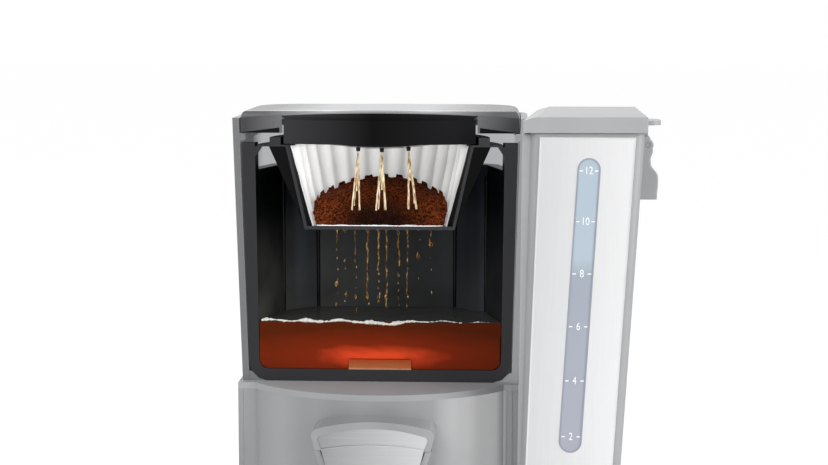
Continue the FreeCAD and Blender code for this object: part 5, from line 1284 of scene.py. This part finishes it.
# %% [markdown]
# ## Splash shield and cheeks
# Under the hood a brushed sheet with an arched top stands in front of the nozzle and keeps splashes off, and
# two cheeks close the hood's sides. The arch follows a formula, so the points of a grid are set by it, and
# solidify and bevel finish the sheet.

# %% Splash shield
SHIELD_HALF_TOP = 33.4 * MM
SHIELD_HALF_FOOT = 30.2 * MM
SHIELD_FOOT = 162.4 * MM
SHIELD_SHOULDER = 174.0 * MM
SHIELD_ARCH = 3.0 * MM
SHIELD_T = 1.4 * MM
SHIELD_GAP = 0.4 * MM
SHIELD_COLUMNS = 24
SHIELD_ROWS = 4
shield_front = cap_low.y - SHIELD_T - SHIELD_GAP
bpy.ops.mesh.primitive_grid_add(x_subdivisions=SHIELD_COLUMNS, y_subdivisions=SHIELD_ROWS, size=2,
                                location=(0, 0, 0))
shield = bpy.context.object
for point in shield.data.vertices:
    across, up = point.co.x, (point.co.y + 1) / 2
    top = SHIELD_SHOULDER + SHIELD_ARCH * (1 - across * across)
    half = SHIELD_HALF_FOOT + (SHIELD_HALF_TOP - SHIELD_HALF_FOOT) * up
    point.co = (TANK_X + half * across, shield_front, SHIELD_FOOT + (top - SHIELD_FOOT) * up)
modify(shield, "SOLIDIFY", thickness=SHIELD_T, offset=-1)
modify(shield, "BEVEL", width=0.3 * MM, segments=3, limit_method="ANGLE")
finish_piece(shield, "splash_shield", lever_steel, "housing", smooth=False)

# %% Hood cheeks
CHEEK_W = 4.4 * MM
CHEEK_TOP = 34.0 * MM
CHEEK_BACK = 10.0 * MM
hood_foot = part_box("dispenser_hood")[0].z
hood_cheeks = join(both_sides([(SHIELD_HALF_FOOT, SHIELD_FOOT), (SHIELD_HALF_FOOT + CHEEK_W, SHIELD_FOOT),
                               (CHEEK_TOP + CHEEK_W, hood_foot), (CHEEK_TOP, hood_foot)],
                              cap_low.y, cap_low.y + CHEEK_BACK))
modify(hood_cheeks, "BEVEL", width=0.4 * MM, segments=3)
finish_piece(hood_cheeks, "hood_cheeks", body_abs, "housing", smooth=False)

# %% [markdown]
# ## Cradle and corner shade lines of the tank
# The housing holds the tank's round foot between stepped blocks, which show as pale corners in the section.
# Slim black strands stand in the corners between the tank's facets as painted shade lines. Slabs make the
# blocks, and straight strands make the shade lines, because a round strand catches a thin light along its
# length.

# %% Tank cradle
# Each step in millimetres: inner and outer distance from the axis of the tank, low and high above its foot
CRADLE = ((78.0, 92.6, 0.0, 6.3), (89.5, 92.6, 6.3, 10.5))
CRADLE_NEAR = SECTION_Y + 0.3 * MM
CRADLE_FAR = SECTION_Y + 8 * MM
blocks = []
for inner, outer, low, high in CRADLE:
    foot = tank_low.z + low * MM
    top = tank_low.z + high * MM
    blocks += both_sides([(inner * MM, foot), (outer * MM, foot), (outer * MM, top), (inner * MM, top)],
                         CRADLE_NEAR, CRADLE_FAR)
cradle = join(blocks)
modify(cradle, "BEVEL", width=0.3 * MM, segments=2)
finish_piece(cradle, "tank_cradle", shell_cut, "housing", smooth=False)

# %% Tank corner shade lines
# Places of the painted shade lines: distance from the axis of the tank, and depth behind the section, in
# millimetres
SHADE_LINE_CORNERS = ((48.6, 68.4), (71.0, 49.2))
SHADE_LINE_HEIGHTS = (240 * MM, 290 * MM, 340 * MM)
SHADE_LINE_R = 1.3 * MM
shade_lines = []
for out, deep in SHADE_LINE_CORNERS:
    for side in (-1, 1):
        x = TANK_X + side * out * MM
        shade_lines.append(strand([(x, SECTION_Y + deep * MM, z, SHADE_LINE_R) for z in SHADE_LINE_HEIGHTS]))
tank_corner_shade_lines = join(shade_lines)
finish_piece(tank_corner_shade_lines, "tank_corner_shade_lines", black_nylon, "housing")

# %% [markdown]
# ## Grip and cover of the reservoir
# The grip is one soft moulding: its neck is drawn in below the hinge and its belly swells above the open
# foot. The CAD grip is rebuilt from voxels, and a soft transform pulls its face, as a sculptor would. The
# cover is widest at its front and narrows towards the back, so that it clears the housing. It is a slab with
# a raised top and a hollow underside. Its tab and hinge ear are cut out of the CAD cover, so that they fit
# the pin.

# %% Reservoir grip
# Neck and belly: height of the middle, half height, step across, and reach of the soft move
GRIP_PULLS = ((357.5 * MM, 1.5 * MM, -2.6 * MM, 7 * MM), (341.0 * MM, 6 * MM, 1.8 * MM, 9 * MM))
GRIP_SKIN = 4.5 * MM
FOOT_DROP = 2.4 * MM
grip_low, grip_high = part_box("reservoir_handle")
grip_face = grip_high.x - GRIP_SKIN
grip = cad_copy("reservoir_handle")
modify(grip, "REMESH", mode="VOXEL", voxel_size=0.6 * MM)
for middle, half, step, reach in GRIP_PULLS:
    shift(grip, lambda p: p.x > grip_face and abs(p.z - middle) < half, (step, 0, 0), **soft_edit(reach))
shift(grip, lambda p: p.z < grip_low.z + 0.5 * MM, (0, 0, -FOOT_DROP))
finish_piece(grip, "reservoir_grip", reservoir_abs, "reservoir", ["reservoir_handle"])

# %% Reservoir cover
COVER_LEFT = TANK_X + 95.4 * MM
COVER_RIGHT = TANK_X + 174.7 * MM
COVER_TAPER = 11.0 * MM
COVER_SKIN = 2.5 * MM
COVER_SEAT = 378.4 * MM
HIP_RISE = 2.4 * MM
HIP_IN = 8.4 * MM
flap_low, flap_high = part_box("reservoir_lid")
rim_top = flap_high.z - HIP_RISE
res_cover = slab([(COVER_LEFT, COVER_SEAT), (COVER_RIGHT, COVER_SEAT), (COVER_RIGHT, rim_top),
                  (COVER_LEFT, rim_top)], flap_low.y, flap_high.y)
shift(res_cover, lambda p: p.x < COVER_LEFT + MM and p.y > 0, (COVER_TAPER, 0, 0))
pick_faces(res_cover, lambda face: face.normal.z > 0.9)
bpy.ops.mesh.extrude_region_move(TRANSFORM_OT_translate={"value": (0, 0, HIP_RISE)})
leave_edit()
shift(res_cover, lambda p: p.z > rim_top + MM and p.x < COVER_LEFT + 2 * COVER_TAPER, (HIP_IN, 0, 0))
pick_faces(res_cover, lambda face: face.normal.z < -0.9)
bpy.ops.mesh.inset(thickness=COVER_SKIN)
bpy.ops.mesh.extrude_region_move(TRANSFORM_OT_translate={"value": (0, 0, rim_top - COVER_SEAT - COVER_SKIN)})
leave_edit()
modify(res_cover, "BEVEL", width=0.4 * MM, segments=3, limit_method="ANGLE")
print("cover slab", len(res_cover.data.polygons), "faces")

# %% Cover ear
EAR_CUT = TANK_X + 173.3 * MM
EAR_HALF = 13.2 * MM
EAR_BACK = 0.5 * MM
ear_y = (flap_low.y + flap_high.y) / 2 + EAR_BACK
ear = cad_copy("reservoir_lid")
pick_points(ear, lambda p: True)
for plane_co, plane_no in (((EAR_CUT, 0, 0), (1, 0, 0)), ((0, ear_y - EAR_HALF, 0), (0, 1, 0)),
                           ((0, ear_y + EAR_HALF, 0), (0, -1, 0))):
    bpy.ops.mesh.select_all(action="SELECT")
    bpy.ops.mesh.bisect(plane_co=plane_co, plane_no=plane_no, clear_inner=True)
leave_edit()
res_cover = join([res_cover, ear])
finish_piece(res_cover, "reservoir_top", reservoir_abs, "reservoir_cover",
             ["reservoir_lid"], smooth=False)
